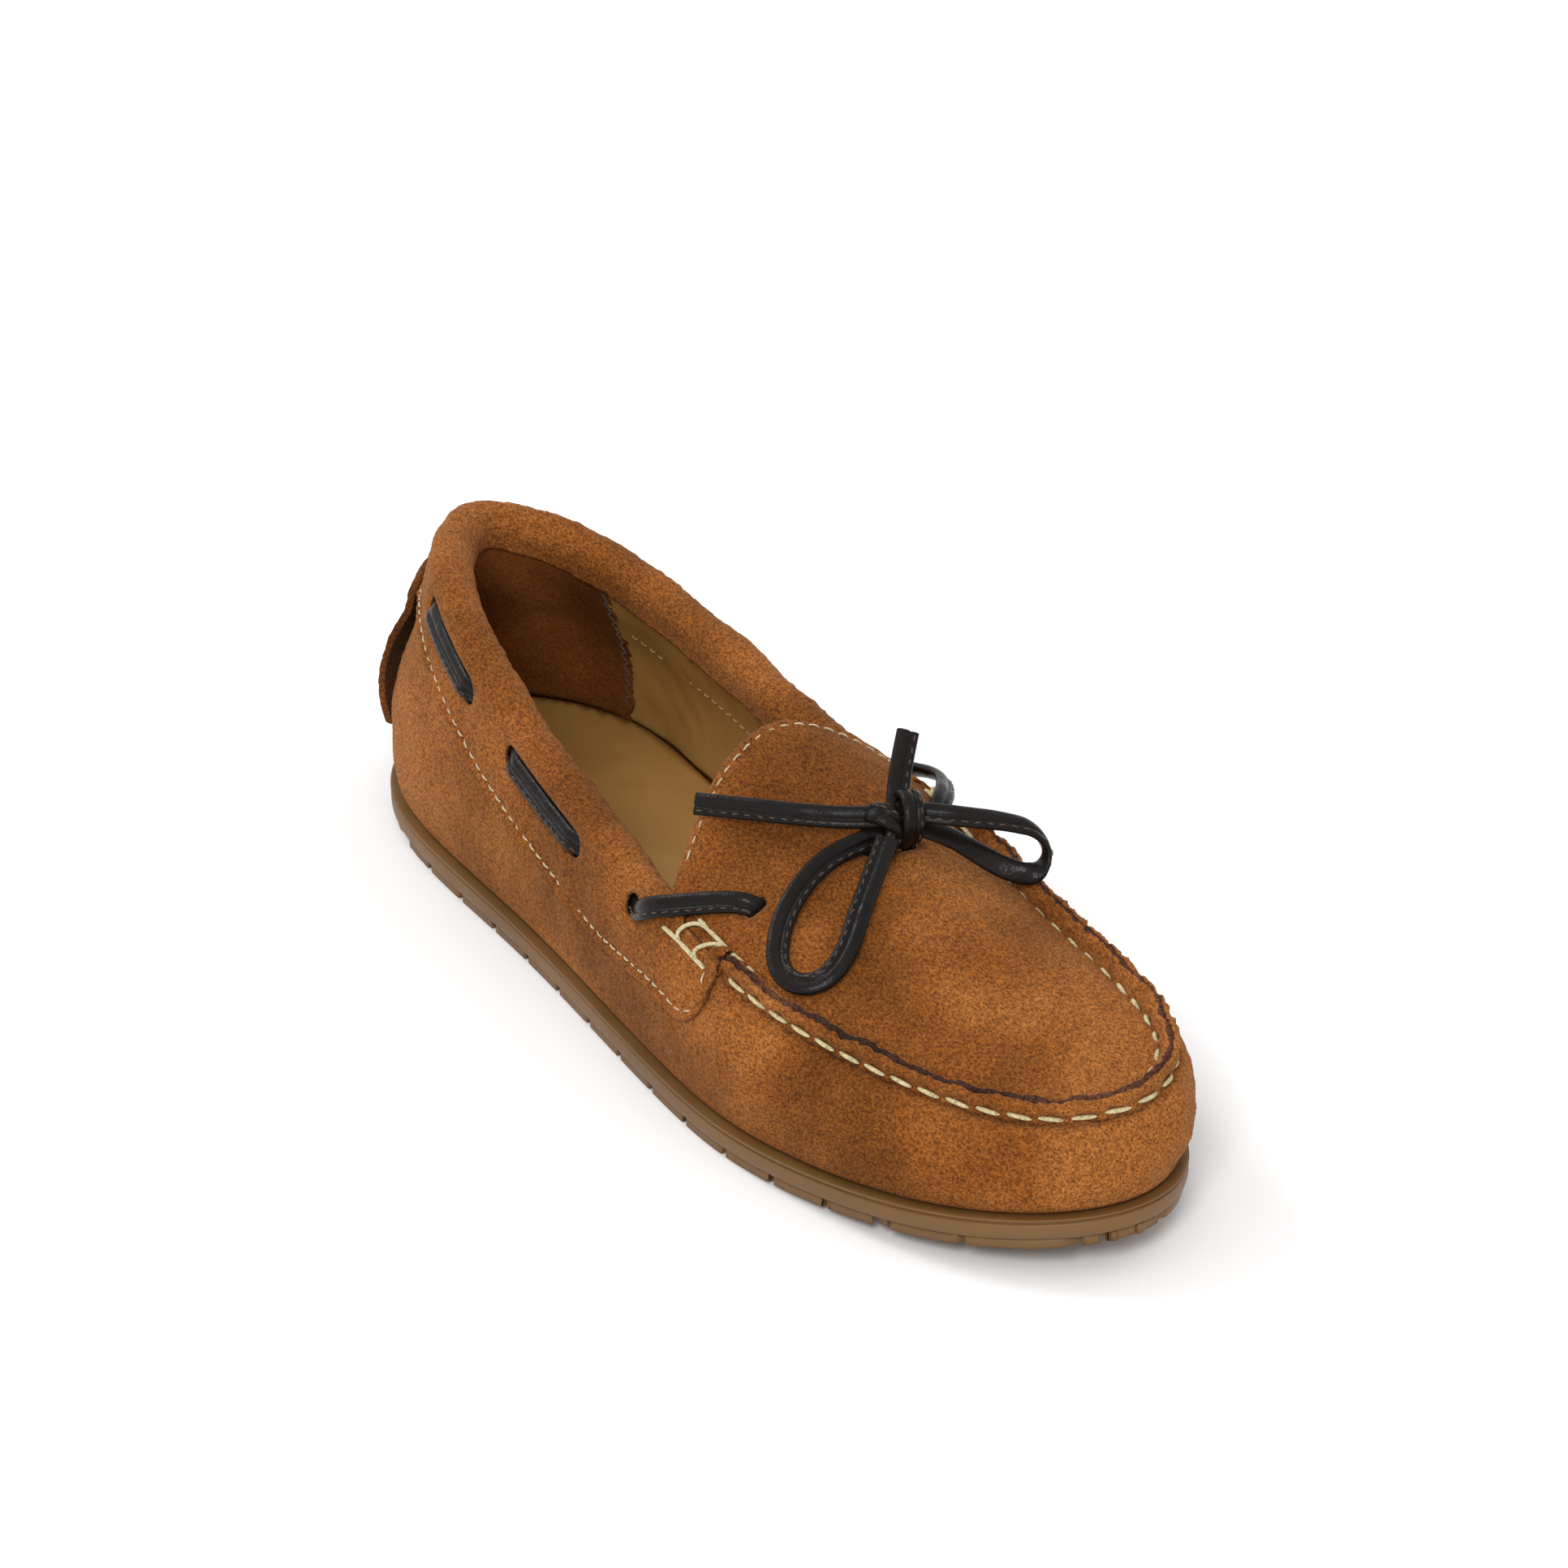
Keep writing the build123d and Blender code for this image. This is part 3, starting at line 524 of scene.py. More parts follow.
def seam_swell(u, below):
    """The crease that the hand stitches lie in, and the suede swelling up beyond it."""
    front = between(u, 6.25, 6.6, 15.2, 15.55)
    tug = 0.5 + 0.5 * stitch_phase(u)
    crease = (0.75 + 0.35 * tug) * np.exp(-((below - 2.2) / 1.15) ** 2)
    swell = (0.55 - 0.3 * tug) * np.exp(-((below - 5.4) / 2.3) ** 2)
    fold = ripple(np.array([[seam_length(u), 0, 0]]), 17, 14)[0]
    folds = 0.35 * fold * np.exp(-((below - 7) / 7.0) ** 2)
    return front * (swell - crease + folds)


def wall_high(u):
    """Upper edge of the wall's suede, which ends under the collar band."""
    return 0.4 + 9.5 * (1 - between(u, 5.3, 6.3, 15.6, 16.6))


def make_wall():
    """The one suede wall round the shoe, turned in under the foot at its lower edge."""
    columns = 84
    stations = stations_along(0, COUNT)[:-1]
    highs = [wall_high(u) for u in stations]
    lows = [wall_length(u) + 1.9 + 4.0 for u in stations]
    front, back = band_arrays(stations, highs, lows, columns, flat(0), flat(SUEDE))
    below = np.linspace(highs, lows, columns, axis=1)
    lift = nap(front, 11) + np.array([seam_swell(u, w) for u, w in zip(stations, below)])
    lift *= ramp(np.array([wall_length(u) for u in stations])[:, None] + 1.0 - below, -1.0, 3.0)
    front = front + face_out(front, back) * lift[..., None]
    cells = grid_cells(len(stations), columns, True)
    return thick_sheet("wall_suede", front, back, cells, [suede_tan], "suede")


def slot_distance(s, w, first, last, half):
    """Signed distance outside a slot that lies along s."""
    return np.hypot(s - np.clip(s, first + half, last - half), w - LACE_BELOW) - half


def make_band():
    """The padded band over the collar's roll, with its tabs, windows and eyelets."""
    inner = stations_along(TAB_MEDIAL + 0.35, COUNT + TAB_LATERAL - 0.35, 0.7)
    stations = np.concatenate([np.linspace(TAB_MEDIAL, TAB_MEDIAL + 0.35, 30)[:-1], inner,
                               np.linspace(COUNT + TAB_LATERAL - 0.35, COUNT + TAB_LATERAL, 30)[1:]])
    columns = 62
    lows = [band_low(u) for u in stations]
    collar = collar_part(stations)
    over = pi * roll_radius(stations) + 0.4 + BAND_TURN_IN * ramp(collar, 0.35, 0.95)
    ends = 0.4 - over * ramp(collar, 0.0, 0.12)
    front, back = band_arrays(stations, lows, ends, columns, flat(-BAND), flat(-0.24))
    below = np.linspace(lows, ends, columns, axis=1)
    along = np.array([on_wall(u, LACE_BELOW, -BAND)[0] for u in stations])
    s = lengths_along(along)
    s_grid = np.broadcast_to(s[:, None], below.shape)
    gaps = []
    for first, last in WINDOWS:
        for ends in ((COUNT + first, COUNT + last), (COUNT - last, COUNT - first)):
            gaps.append(slot_distance(s_grid, below, *np.interp(ends, stations, s), WINDOW_HALF))
    for u in (COUNT + EYELET_LATERAL, EYELET_MEDIAL):
        ends = np.interp(u, stations, s) + np.array([-EYELET_RADIUS, EYELET_RADIUS])
        gaps.append(slot_distance(s_grid, below, *ends, EYELET_RADIUS))
    gap = np.min(gaps, axis=0)
    # pull the points next to an opening on to its edge
    ds, dw = np.gradient(gap)
    step_s = np.gradient(s_grid, axis=0)
    step_w = np.gradient(below, axis=1)
    slope_s, slope_w = ds / step_s, dw / step_w
    size = np.maximum(slope_s**2 + slope_w**2, 0.2)
    near = (np.abs(gap) < EDGE_REACH) & (slope_s**2 + slope_w**2 > 0.2)
    move_r = np.where(near, -gap * slope_s / size / step_s, 0)[..., None]
    move_c = np.where(near, -gap * slope_w / size / step_w, 0)[..., None]
    front, back = [grid + np.gradient(grid, axis=0) * move_r + np.gradient(grid, axis=1) * move_c
                   for grid in (front, back)]
    cells = grid_cells(len(stations), columns)
    cut = (gap < -EDGE_REACH).reshape(-1)[cells].any(axis=1)
    # cells between two snapped points that lie wholly on the edge of an opening go too
    centre_gap = gap.reshape(-1)[cells].mean(axis=1)
    cells = cells[~(cut | (centre_gap < -0.2))]
    lift = nap(front, 31) * ramp(gap, 0.2, 2.5)
    # the leather turns down a little at every opening and at the lower edge
    from_edge = below[:, :1] - below
    lift -= 0.5 * (1 - ramp(gap, 0.0, 1.6)) + 0.25 * (1 - ramp(from_edge, 0.0, 0.6))
    lift += 0.4 * np.exp(-((from_edge - 0.9) / 0.7) ** 2) - 0.4 * np.exp(-((from_edge - 2.1) / 0.6) ** 2)
    front = front + face_out(front, back) * lift[..., None]
    # the band's cut edges take the dark suede: painted shade along its step and round its openings
    return thick_sheet("collar_band_suede", front, back, cells[:, ::-1], [suede_band, suede_dark_and_edge_shade],
                       "suede", 1, 0.12)


def make_heel_tab():
    """The dark strap down the heel, its two lower corners rounded and its sides standing off."""
    stations = np.linspace(COUNT - HEEL_TAB_HALF, COUNT + HEEL_TAB_HALF, 76)
    columns = 60
    highs = [band_low(u) - 3 for u in stations]
    straight = 0.55
    past = np.maximum(abs(stations - COUNT) / HEEL_TAB_HALF - straight, 0) / (1 - straight)
    corner = 1 - np.sqrt(np.maximum(1 - past**2, 0))
    lows = [wall_length(u) - 1.5 - 5.0 * up for u, up in zip(stations, corner)]

    def stand_off(u, below):
        k = np.linspace(0, 10, len(below))
        side = abs((u + COUNT / 2) % COUNT - COUNT / 2) / HEEL_TAB_HALF
        flare = 0.9 * side * (k / 10) ** 2
        bow = (1.1 + 1.3 * side) * np.sin(pi * (k / 10) ** 1.4 * 0.88)
        return 0.3 + bow + flare + BAND * (1 - ramp(k, 1, 3))

    front, back = band_arrays(stations, highs, lows, columns, lambda u, w: -stand_off(u, w) - 1.5,
                              lambda u, w: -stand_off(u, w))
    front = front + face_out(front, back) * nap(front, 41, 0.8)[..., None]
    return thick_sheet("heel_tab_suede", front, back, grid_cells(len(stations), columns), [suede_dark_and_edge_shade],
                       "heel_suede", bulge_edge=0.2)


def make_lining(name, first, last, made_of, slot, seed, rise=0.0, rough=0.0, ragged=0.0):
    """A stretch of the lining, standing up by rise, with a rough face and ragged ends if asked."""
    stations = stations_along(first, last, 1.2)
    columns = 42
    highs = np.full(len(stations), 1.0 + BAND_TURN_IN * 0.4)
    lows = [wall_length(u) - 2.6 for u in stations]
    front, back = band_arrays(stations, highs, lows, columns, lambda u, w: lining_depth(u, w) + rise,
                              lambda u, w: lining_depth(u, w) - LINING)
    lift = 0.18 * ripple(front, 20, seed) + 0.06 * ripple(front, 6, seed + 1)
    lift += rough * ripple(front, 2.0, seed + 2)
    front = front + face_out(front, back) * lift[..., None]
    if ragged:
        along = np.gradient(front, axis=0)
        along /= np.linalg.norm(along, axis=-1)[..., None]
        for row, sign in ((0, -1), (-1, 1)):
            out = ragged * ripple(front[row], 1.6, seed + 5)[:, None] * along[row] * sign
            front[row] += out
            back[row] += out
    return thick_sheet(name, front, back, grid_cells(len(stations), columns)[:, ::-1], [made_of], slot)


# ---------------------------------------------------------------- apron and flat pieces
APRON_SECTIONS = np.array([
    (-135, 40, 0.0), (-118, 40, 1.0), (-105, 40, 2.5), (-90, 38, 5.0), (-75, 38, 8.0),
    (-60, 38, 10.0), (-45, 37, 12.0), (-30, 36, 13.5), (-15, 35, 15.0), (0, 35, 16.0), (8, 35, 16.5),
])
TONGUE_END = -4.0
SEAM_GAP = 0.9
SEAM_POINTS = 400


def seam_columns(first, last):
    """The seam on one side: y, x, height and inset, sorted by y."""
    stations = np.linspace(first, last, 400)
    line = np.column_stack([curve(stations) for curve in (outline_y, outline_x, top_height, top_inset)])
    return line[np.argsort(line[:, 0])]


SEAM_LEFT = seam_columns(5, 10.6)
SEAM_RIGHT = seam_columns(10.6, 17)


def apron_height(x, y):
    """Height of the apron's face, crowned between the two sides of the seam."""
    left, right = [[np.interp(y, seam[:, 0], seam[:, k]) for k in (1, 2, 3)]
                   for seam in (SEAM_LEFT, SEAM_RIGHT)]
    crown = np.interp(y, APRON_SECTIONS[:, 0], APRON_SECTIONS[:, 2])
    left_x, right_x = left[0] + left[2], right[0] - right[2]
    middle = (left_x + right_x) / 2
    spread = np.maximum((right_x - left_x) / 2, 24)
    across = (x - middle) / spread
    chord = (left[1] + right[1]) / 2 + (right[1] - left[1]) / 2 * np.clip(across, -1.2, 1.2)
    tip = 3.6 * ramp(y, -34, -8) * np.maximum(1 - across**2, 0)
    return chord + np.maximum(crown * (1 - np.abs(across) ** 2.2), -4) + tip


def plan_line(inset, first=0.0, last=float(COUNT), count=400, use_top=False):
    """The outline seen from above, drawn in by an inset and, for the seam, by the top's own."""
    points = []
    for u in np.linspace(first, last, count):
        t = tangent(u)
        depth = inset + (top_inset(u) if use_top else 0)
        points.append((outline_x(u) - t[1] * depth, outline_y(u) + t[0] * depth))
    return np.array(points)


def smooth_through(points, count):
    """Catmull-Rom curve through a few plan points."""
    p = np.array([2 * np.array(points[0]) - points[1], *points, 2 * np.array(points[-1]) - points[-2]])
    made = []
    for a, b, c, d in zip(p, p[1:], p[2:], p[3:]):
        t = np.linspace(0, 1, count, endpoint=False)[:, None]
        made.append(0.5 * (2 * b + (c - a) * t + (2 * a - 5 * b + 4 * c - d) * t**2
                           + (3 * b - a - 3 * c + d) * t**3))
    return np.vstack([*made, p[-2][None]])


def apron_outline(inset, tongue_y):
    """Plan outline of the apron: along the seam, then over the tongue's free edge."""
    seam = plan_line(inset, THROAT_LATERAL, THROAT_MEDIAL, SEAM_POINTS, True)
    edge = [(21, tongue_y - 5), (4, tongue_y + 0.5), (-12.5, tongue_y - 2.5)]
    tongue = smooth_through([seam[-1], *edge, seam[0]], 40)
    return np.vstack([seam, tongue[1:-1]])


def inside_distance(points, outline):
    """Signed distance to a closed plan outline, positive inside."""
    a, b = outline, np.roll(outline, -1, 0)
    best = np.full(len(points), np.inf)
    inside = np.zeros(len(points), bool)
    for p, q in zip(a, b):
        edge = q - p
        t = np.clip(((points - p) @ edge) / max(edge @ edge, 1e-9), 0, 1)
        best = np.minimum(best, np.hypot(*(points - p - t[:, None] * edge).T))
        crosses = (p[1] > points[:, 1]) != (q[1] > points[:, 1])
        if crosses.any():
            x = (q[0] - p[0]) * (points[:, 1] - p[1]) / (q[1] - p[1] + 1e-12) + p[0]
            inside ^= crosses & (points[:, 0] < x)
    return np.where(inside, best, -best)


def plan_sheet(name, outline, step, top, bottom, materials, slot, cuts=(), finish=None, **edges):
    """A sheet over a plan outline: points near the outline or a cut are pulled on to it."""
    low, high = outline.min(0) - step, outline.max(0) + step
    xs, ys = np.arange(low[0], high[0], step), np.arange(low[1], high[1], step)
    x, y = np.meshgrid(xs, ys, indexing="ij")
    shape = x.shape
    points = np.column_stack([x.ravel(), y.ravel()])

    def distance(at):
        d = inside_distance(at, outline)
        for cut in cuts:
            d = np.minimum(d, cut(at[:, 0], at[:, 1]))
        return d

    d = distance(points)
    inside = d > -0.7 * step
    near = np.abs(d) < 0.7 * step
    for again in (True, False):
        dx, dy = np.gradient(d.reshape(shape), step)
        slope = np.column_stack([dx.ravel(), dy.ravel()])
        size = np.maximum((slope**2).sum(1), 0.25)
        points = np.where(near[:, None], points - (d / size)[:, None] * slope, points)
        if again:
            d = np.where(near, distance(points), d)
    cells = grid_cells(*shape)
    cells = cells[inside[cells].all(axis=1)]
    centre = points[cells].mean(axis=1)
    cells = cells[distance(centre) > 0.05]
    x, y = points.T
    front = np.column_stack([x, y, top(x, y)])
    back = np.column_stack([x, y, bottom(x, y)])
    if finish:
        front = finish(front, distance(points))
    return thick_sheet(name, front, back, cells, materials, slot, **edges)


LACE_HOLES = ((-24.2, -38.0), (25.6, -25.6))
KNOT = (6.5, -41.0)


def slot_cut(cx, cy, length, width):
    """Signed distance outside a slot that lies along x, round where it is as long as wide."""
    half = (length - width) / 2
    return lambda x, y: np.hypot(x - np.clip(x, cx - half, cx + half), y - cy) - width / 2


def apron_finish(points, edge):
    """Nap, dimples round the lace holes, and a slight fall of the tongue's free edge."""
    rise = nap(points, 51)
    for cx, cy in LACE_HOLES:
        rise -= 0.9 * np.exp(-(np.hypot(points[:, 0] - cx, points[:, 1] - cy) / 4.5) ** 2)
    rise -= 0.45 * (1 - ramp(edge, 0.0, 1.4))
    points = points.copy()
    points[:, 2] += rise
    return points


def make_apron():
    """The apron and its tongue, with the lace's three slits."""
    cuts = [slot_cut(*hole, 5.0, 3.0) for hole in LACE_HOLES] + [slot_cut(*KNOT, 8.5, 3.4)]
    return plan_sheet("apron_suede", apron_outline(SEAM_GAP, TONGUE_END), STEP,
                      apron_height, lambda x, y: apron_height(x, y) - SUEDE, [suede_tan], "suede",
                      cuts, apron_finish)


def make_tongue_lining():
    """The lining under the apron, with wider openings for the lace."""
    cuts = [slot_cut(*hole, 6.0, 6.0) for hole in LACE_HOLES] + [slot_cut(*KNOT, 11, 4.6)]
    return plan_sheet("tongue_lining_leather", apron_outline(SEAM_GAP + 3, TONGUE_END - 2.5), 1.5,
                      lambda x, y: apron_height(x, y) - SUEDE - 0.15,
                      lambda x, y: apron_height(x, y) - SUEDE - 0.15 - LINING, [lining_leather],
                      "lining_leather", cuts)


def make_sock():
    """The leather that lines the footbed."""
    def worn(points, edge):
        points = points.copy()
        points[:, 2] += 0.12 * ripple(points, 30, 61) - 0.3 * (1 - ramp(edge, 0, 1.5))
        return points

    return plan_sheet("sock_lining_leather", plan_line(7.0)[:-1], 2.0, lambda x, y: sole_top(y) + 6.42,
                      lambda x, y: sole_top(y) + 5.42, [lining_leather], "lining_leather", (), worn)


# ---------------------------------------------------------------- sole
BLOCK_PITCH, GROOVE = 15.0, 1.6


def make_sole():
    """The rounded rubber rim with its shallow groove, closed above and below."""
    stations = stations_along(0, COUNT, 1.2)[:-1]
    rim = [(-2.6, -4.95), (-1.2, -4.9), (-0.35, -4.45), (0.05, -3.7), (0.15, -2.8), (0.1, -1.9), (-0.1, -1.3),
           (-0.5, -1.05), (-0.3, -0.75), (0.2, -0.45), (0.1, -0.2), (-0.5, -0.1), (-1.6, -0.1)]
    shares = (1.0, 0.7, 0.4, 0.12)
    # each row: outward of the outline, up from the sole's top, and share of the way to the spine
    rows = [(*rim[0], share) for share in shares]
    rows += [(across, up, 0.0) for across, up in smooth_through(rim, 3)]
    rows += [(*rim[-1], share) for share in shares[::-1]]
    rings = []
    for u in stations:
        t = tangent(u)
        here = np.array([outline_x(u), outline_y(u)])
        spine = np.array([np.clip(here[0] * 0.05, -3, 3), np.clip(here[1], -96, 98)])
        for across, up, share in rows:
            plan = here + np.array([t[1], -t[0]]) * across
            plan = plan + (spine - plan) * share
            rings.append((*plan, sole_top(plan[1]) + up))
    cells = grid_cells(len(stations), len(rows), True)[:, ::-1]
    return new_mesh("sole_rubber", rings, cells, [gum], None)


def make_tread():
    """The tread's blocks, parted by grooves across and along the sole."""
    def across(x, y):
        part = (y - BLOCK_PITCH / 2) % BLOCK_PITCH
        return np.minimum(part, BLOCK_PITCH - part) - GROOVE / 2

    def lengthways(x, y):
        return np.min([np.abs(x - c) for c in (-30, 0, 30)], axis=0) - GROOVE / 2

    def soften(points, edge):
        points = points.copy()
        points[:, 2] += 0.2 * (1 - ramp(edge, 0.0, 0.9))
        return points

    return plan_sheet("sole_tread_rubber", plan_line(0.9)[:-1], 0.65, lambda x, y: sole_top(y) - 7.0,
                      lambda x, y: sole_top(y) - 4.8, [gum], "gum_rubber", [across, lengthways], soften)


# ---------------------------------------------------------------- ridge and stitching
def strip_mesh(rings, closed=False, caps=True):
    """Faces of a tube given as rings of points; returns points and faces."""
    n, m = rings.shape[:2]
    r = np.arange(n if closed else n - 1)[:, None]
    c = np.arange(m)[None, :]
    a, b = r * m + c, ((r + 1) % n) * m + c
    d, e = r * m + (c + 1) % m, ((r + 1) % n) * m + (c + 1) % m
    faces = [list(map(int, f)) for f in np.stack([a, d, e, b], axis=-1).reshape(-1, 4)]
    if caps and not closed:
        faces.append(list(range(m)))
        faces.append([(n - 1) * m + k for k in range(m)][::-1])
    return rings.reshape(-1, 3), faces


def unit(v):
    """Vectors brought to a length of 1."""
    v = np.asarray(v, float)
    return v / np.maximum(np.linalg.norm(v, axis=-1, keepdims=True), 1e-12)


def ring_frames(path, hints):
    """Up and side directions on a path; hints are rough up directions."""
    along = unit(np.gradient(path, axis=0))
    up = unit(hints - (hints * along).sum(-1)[:, None] * along)
    return up, np.cross(along, up)


def thread_rings(path, hints, radius, taper=0.45, sides=8, flatten=0.8):
    """A short thread, thinner at its two ends."""
    up, side = ring_frames(path, hints)
    t = np.linspace(-1, 1, len(path))
    size = radius * (taper + (1 - taper) * np.sqrt(np.maximum(1 - np.abs(t) ** 3, 0)))
    turn = np.linspace(0, 2 * pi, sides, endpoint=False)
    ring = size[:, None, None] * (np.cos(turn)[None, :, None] * side[:, None, :]
                                  + flatten * np.sin(turn)[None, :, None] * up[:, None, :])
    return path[:, None, :] + ring


class Bundle:
    """Collects tubes, each of one kind of material, into one mesh."""

    def __init__(self):
        self.points, self.faces, self.kinds, self.count = [], [], [], 0

    def add(self, rings, kind=0, closed=False):
        points, faces = strip_mesh(rings, closed)
        self.points.append(points)
        self.faces += [[i + self.count for i in f] for f in faces]
        self.kinds += [kind] * len(faces)
        self.count += len(points)

    def make(self, name, slot, *materials):
        return new_mesh(name, np.vstack(self.points), self.faces, materials, self.kinds)


def ridge_frame(u):
    """Foot of the ridge, its upward and its outward direction at a station."""
    foot = on_wall(u, 0.2, 0.2)[0]
    out = wall_out(u, 3.0)
    up = unit(0.55 * out + 0.75 * np.array([0, 0, 1]))
    along = unit(on_wall(u + 0.02, 0.2, 0.2)[0] - on_wall(u - 0.02, 0.2, 0.2)[0])
    up = unit(up - (up @ along) * along)
    side = np.cross(up, along)
    side = side if side @ out > 0 else -side
    return foot, up, side


def make_ridge():
    """The two suede edges standing up along the seam, with dark faces on top: their cut faces, and painted
    shade in the gap between the two edges.
    """
    first, last = TAB_LATERAL - 0.7, TAB_MEDIAL + 0.7
    stations = np.interp(np.arange(seam_length(first), seam_length(last), 0.45), seam_along, seam_fine)
    half = [(2.1, -1.5), (1.5, -0.5), (1.35, 0.3), (1.6, 1.1), (1.75, 1.8), (1.65, 2.5), (1.45, 3.0),
            (1.1, 3.25), (0.6, 3.35), (0.22, 3.2), (0.0, 2.8)]
    profile = np.array(half + [(-x, z) for x, z in half[-2::-1]])
    top = (profile[:, 1] > 2.75).astype(float)
    rng = np.random.default_rng(71)
    rings = []
    ends = ramp(stations, TAB_LATERAL - 0.05, TAB_LATERAL + 0.04)
    ends *= 1 - ramp(stations, TAB_MEDIAL - 0.04, TAB_MEDIAL + 0.05)
    for k, u in enumerate(stations):
        foot, up, side = ridge_frame(u)
        at = profile.copy()
        at[:, 0] *= 1 + 0.13 * stitch_phase(u)
        at[:, 1] *= (0.14 + 0.86 * ends[k]) * (1 + 0.32 * ramp(u, 10.8, 13.0))
        line = foot + at[:, :1] * side + at[:, 1:] * up
        uneven = (ripple(line, 3.2, 72) * 0.09 + ripple(line, 1.2, 73) * 0.06) * (0.3 + 1.3 * top)
        uneven += top * (0.22 * ripple(line, 9, 75) + rng.normal(size=len(top)) * 0.05)
        line += up * uneven[:, None]
        sway = 0.14 * ripple(line, 2.1, 74) + 0.3 * ripple(line, 16, 76) * (at[:, 1] / 3.3)
        line += side * sway[:, None]
        rings.append(line)
    rings = np.array(rings)
    points, faces = strip_mesh(rings)
    m = len(profile)
    tall = ends > 0.5
    # dark faces along the tall part's top: the cut faces, and painted shade in the gap between the two edges
    kinds = [1 if len(f) == 4 and tall[f[0] // m] and all(9 <= i % m <= 13 for i in f) else 0 for f in faces]
    return new_mesh("seam_ridge_suede", points, faces, [suede_tan, cut_edge_and_shade], kinds)


def make_ridge_stitches():
    """Saddle stitches at the foot of the ridge, on the wall side and on the apron side."""
    bundle = Bundle()
    rng = np.random.default_rng(81)
    scale = np.gradient(seam_along, seam_fine)
    for u in seam_stations(FIRST_STITCH, LAST_STITCH, STITCH_PITCH):
        pace = np.interp(u, seam_fine, scale)
        for sign, reach in ((1, 2.35), (-1, 2.0)):
            path, hints = [], []
            tilt = rng.normal() * 0.08
            for t in np.linspace(-1, 1, 11):
                foot, up, side = ridge_frame(u + t * reach / pace)
                bow = 1 - abs(t) ** 2.2
                rise = 0.1 + 0.3 * bow - 0.3 * t * sign + tilt * t
                path.append(foot + side * sign * (1.75 + 0.3 * bow) + up * rise)
                hints.append(up + side * sign)
            bundle.add(thread_rings(np.array(path), np.array(hints), 0.47, 0.35))
    return bundle.make("seam_stitching", "thick_thread", thick_thread)


def dashes(bundle, path, normals, pitch, length, radius, seed, rise=0.1):
    """Machine stitches along a path: short threads that dip at both ends."""
    along = lengths_along(path)
    rng = np.random.default_rng(seed)
    for start in np.arange(pitch / 2, along[-1] - length / 2, pitch):
        s = start + np.linspace(-length / 2, length / 2, 7)
        line = read_columns(s, along, path)
        up = unit(read_columns(s, along, normals))
        side = np.cross(unit(line[-1] - line[0]), up)
        t = np.linspace(-1, 1, 7)
        line = line + up * (rise - 0.28 * np.abs(t) ** 2.5)[:, None]
        line = line + side * (t * rng.normal() * 0.12)[:, None]
        bundle.add(thread_rings(line, up, radius, 0.4, 6))


def wall_route(stations, belows, depth):
    """A path on the wall's face with its outward normals."""
    path = np.array([on_wall(u, w, depth)[0] for u, w in zip(stations, belows)])
    normals = np.array([wall_out(u, w) for u, w in zip(stations, belows)])
    return path, normals


def make_band_stitches():
    """Fine stitches along the band's lower edge and down the front of both tabs."""
    bundle = Bundle()
    stations = stations_along(TAB_MEDIAL + 0.08, COUNT + TAB_LATERAL - 0.08, 1.0)
    belows = [band_low(u) - 2.1 for u in stations]
    path, normals = wall_route(stations, belows, -BAND + 0.25)
    dashes(bundle, path, normals, 3.3, 2.3, 0.24, 91)
    for u, sign in ((TAB_LATERAL, -1), (TAB_MEDIAL, 1)):
        belows = np.linspace(6.4, 1.6, 8)
        path, normals = wall_route([u + sign * 0.085] * 8, belows, -BAND - 0.05)
        dashes(bundle, path, normals, 3.0, 2.2, 0.27, 92)
    return bundle.make("band_stitching", "thick_thread", fine_thread)


def make_tongue_stitches():
    """Fine stitches along the tongue's free edge."""
    bundle = Bundle()
    outline = apron_outline(SEAM_GAP + 2.2, TONGUE_END - 2.2)
    tongue = outline[SEAM_POINTS - 6:]
    height = apron_height(tongue[:, 0], tongue[:, 1])
    path = np.column_stack([tongue, height + 0.1])
    step = 0.5
    dx = (apron_height(tongue[:, 0] + step, tongue[:, 1]) - height) / step
    dy = (apron_height(tongue[:, 0], tongue[:, 1] + step) - height) / step
    normals = unit(np.column_stack([-dx, -dy, np.ones(len(dx))]))
    dashes(bundle, path, normals, 3.3, 2.3, 0.24, 93)
    return bundle.make("tongue_stitching", "thick_thread", fine_thread)


def make_lining_stitches():
    """The stitched line along the quarter linings, inside the shoe."""
    bundle = Bundle()
    for first, last in ((HEEL_LINING_ENDS[0] + 0.2, 5.9), (15.9, HEEL_LINING_ENDS[1] - 0.2)):
        stations = stations_along(first, last, 1.0)
        path = np.array([on_wall(u, 14.5, lining_depth(u, 14.5) + 0.15)[0] for u in stations])
        normals = np.array([-wall_out(u, 14.5) for u in stations])
        dashes(bundle, path, normals, 3.0, 1.9, 0.13, 94, 0.02)
    return bundle.make("lining_stitching", "thick_thread", fine_thread)


def make_heel_lining_stitches():
    """Zigzag along the rough front edges of the heel lining."""
    bundle = Bundle()
    for edge, sign in ((HEEL_LINING_ENDS[0] + 0.1, -1), (HEEL_LINING_ENDS[1] - 0.1, 1)):
        belows = np.arange(5.0, wall_length(edge) - 4.0, 1.5)
        for k, (one, two) in enumerate(zip(belows, belows[1:])):
            near, far = edge + sign * 0.02, edge + sign * 0.11
            ends = (near, far) if k % 2 else (far, near)
            path = np.array([on_wall(ends[0] + (ends[1] - ends[0]) * t, one + (two - one) * t,
                                     lining_depth(edge, one) + 0.5)[0] for t in np.linspace(0, 1, 5)])
            hints = np.repeat([-wall_out(edge, one)], 5, axis=0)
            bundle.add(thread_rings(path, hints, 0.2, 0.6, 6))
    return bundle.make("heel_lining_stitching", "thick_thread", brown_thread)


TABS = {"lateral": (TAB_LATERAL, 1), "medial": (TAB_MEDIAL, -1)}


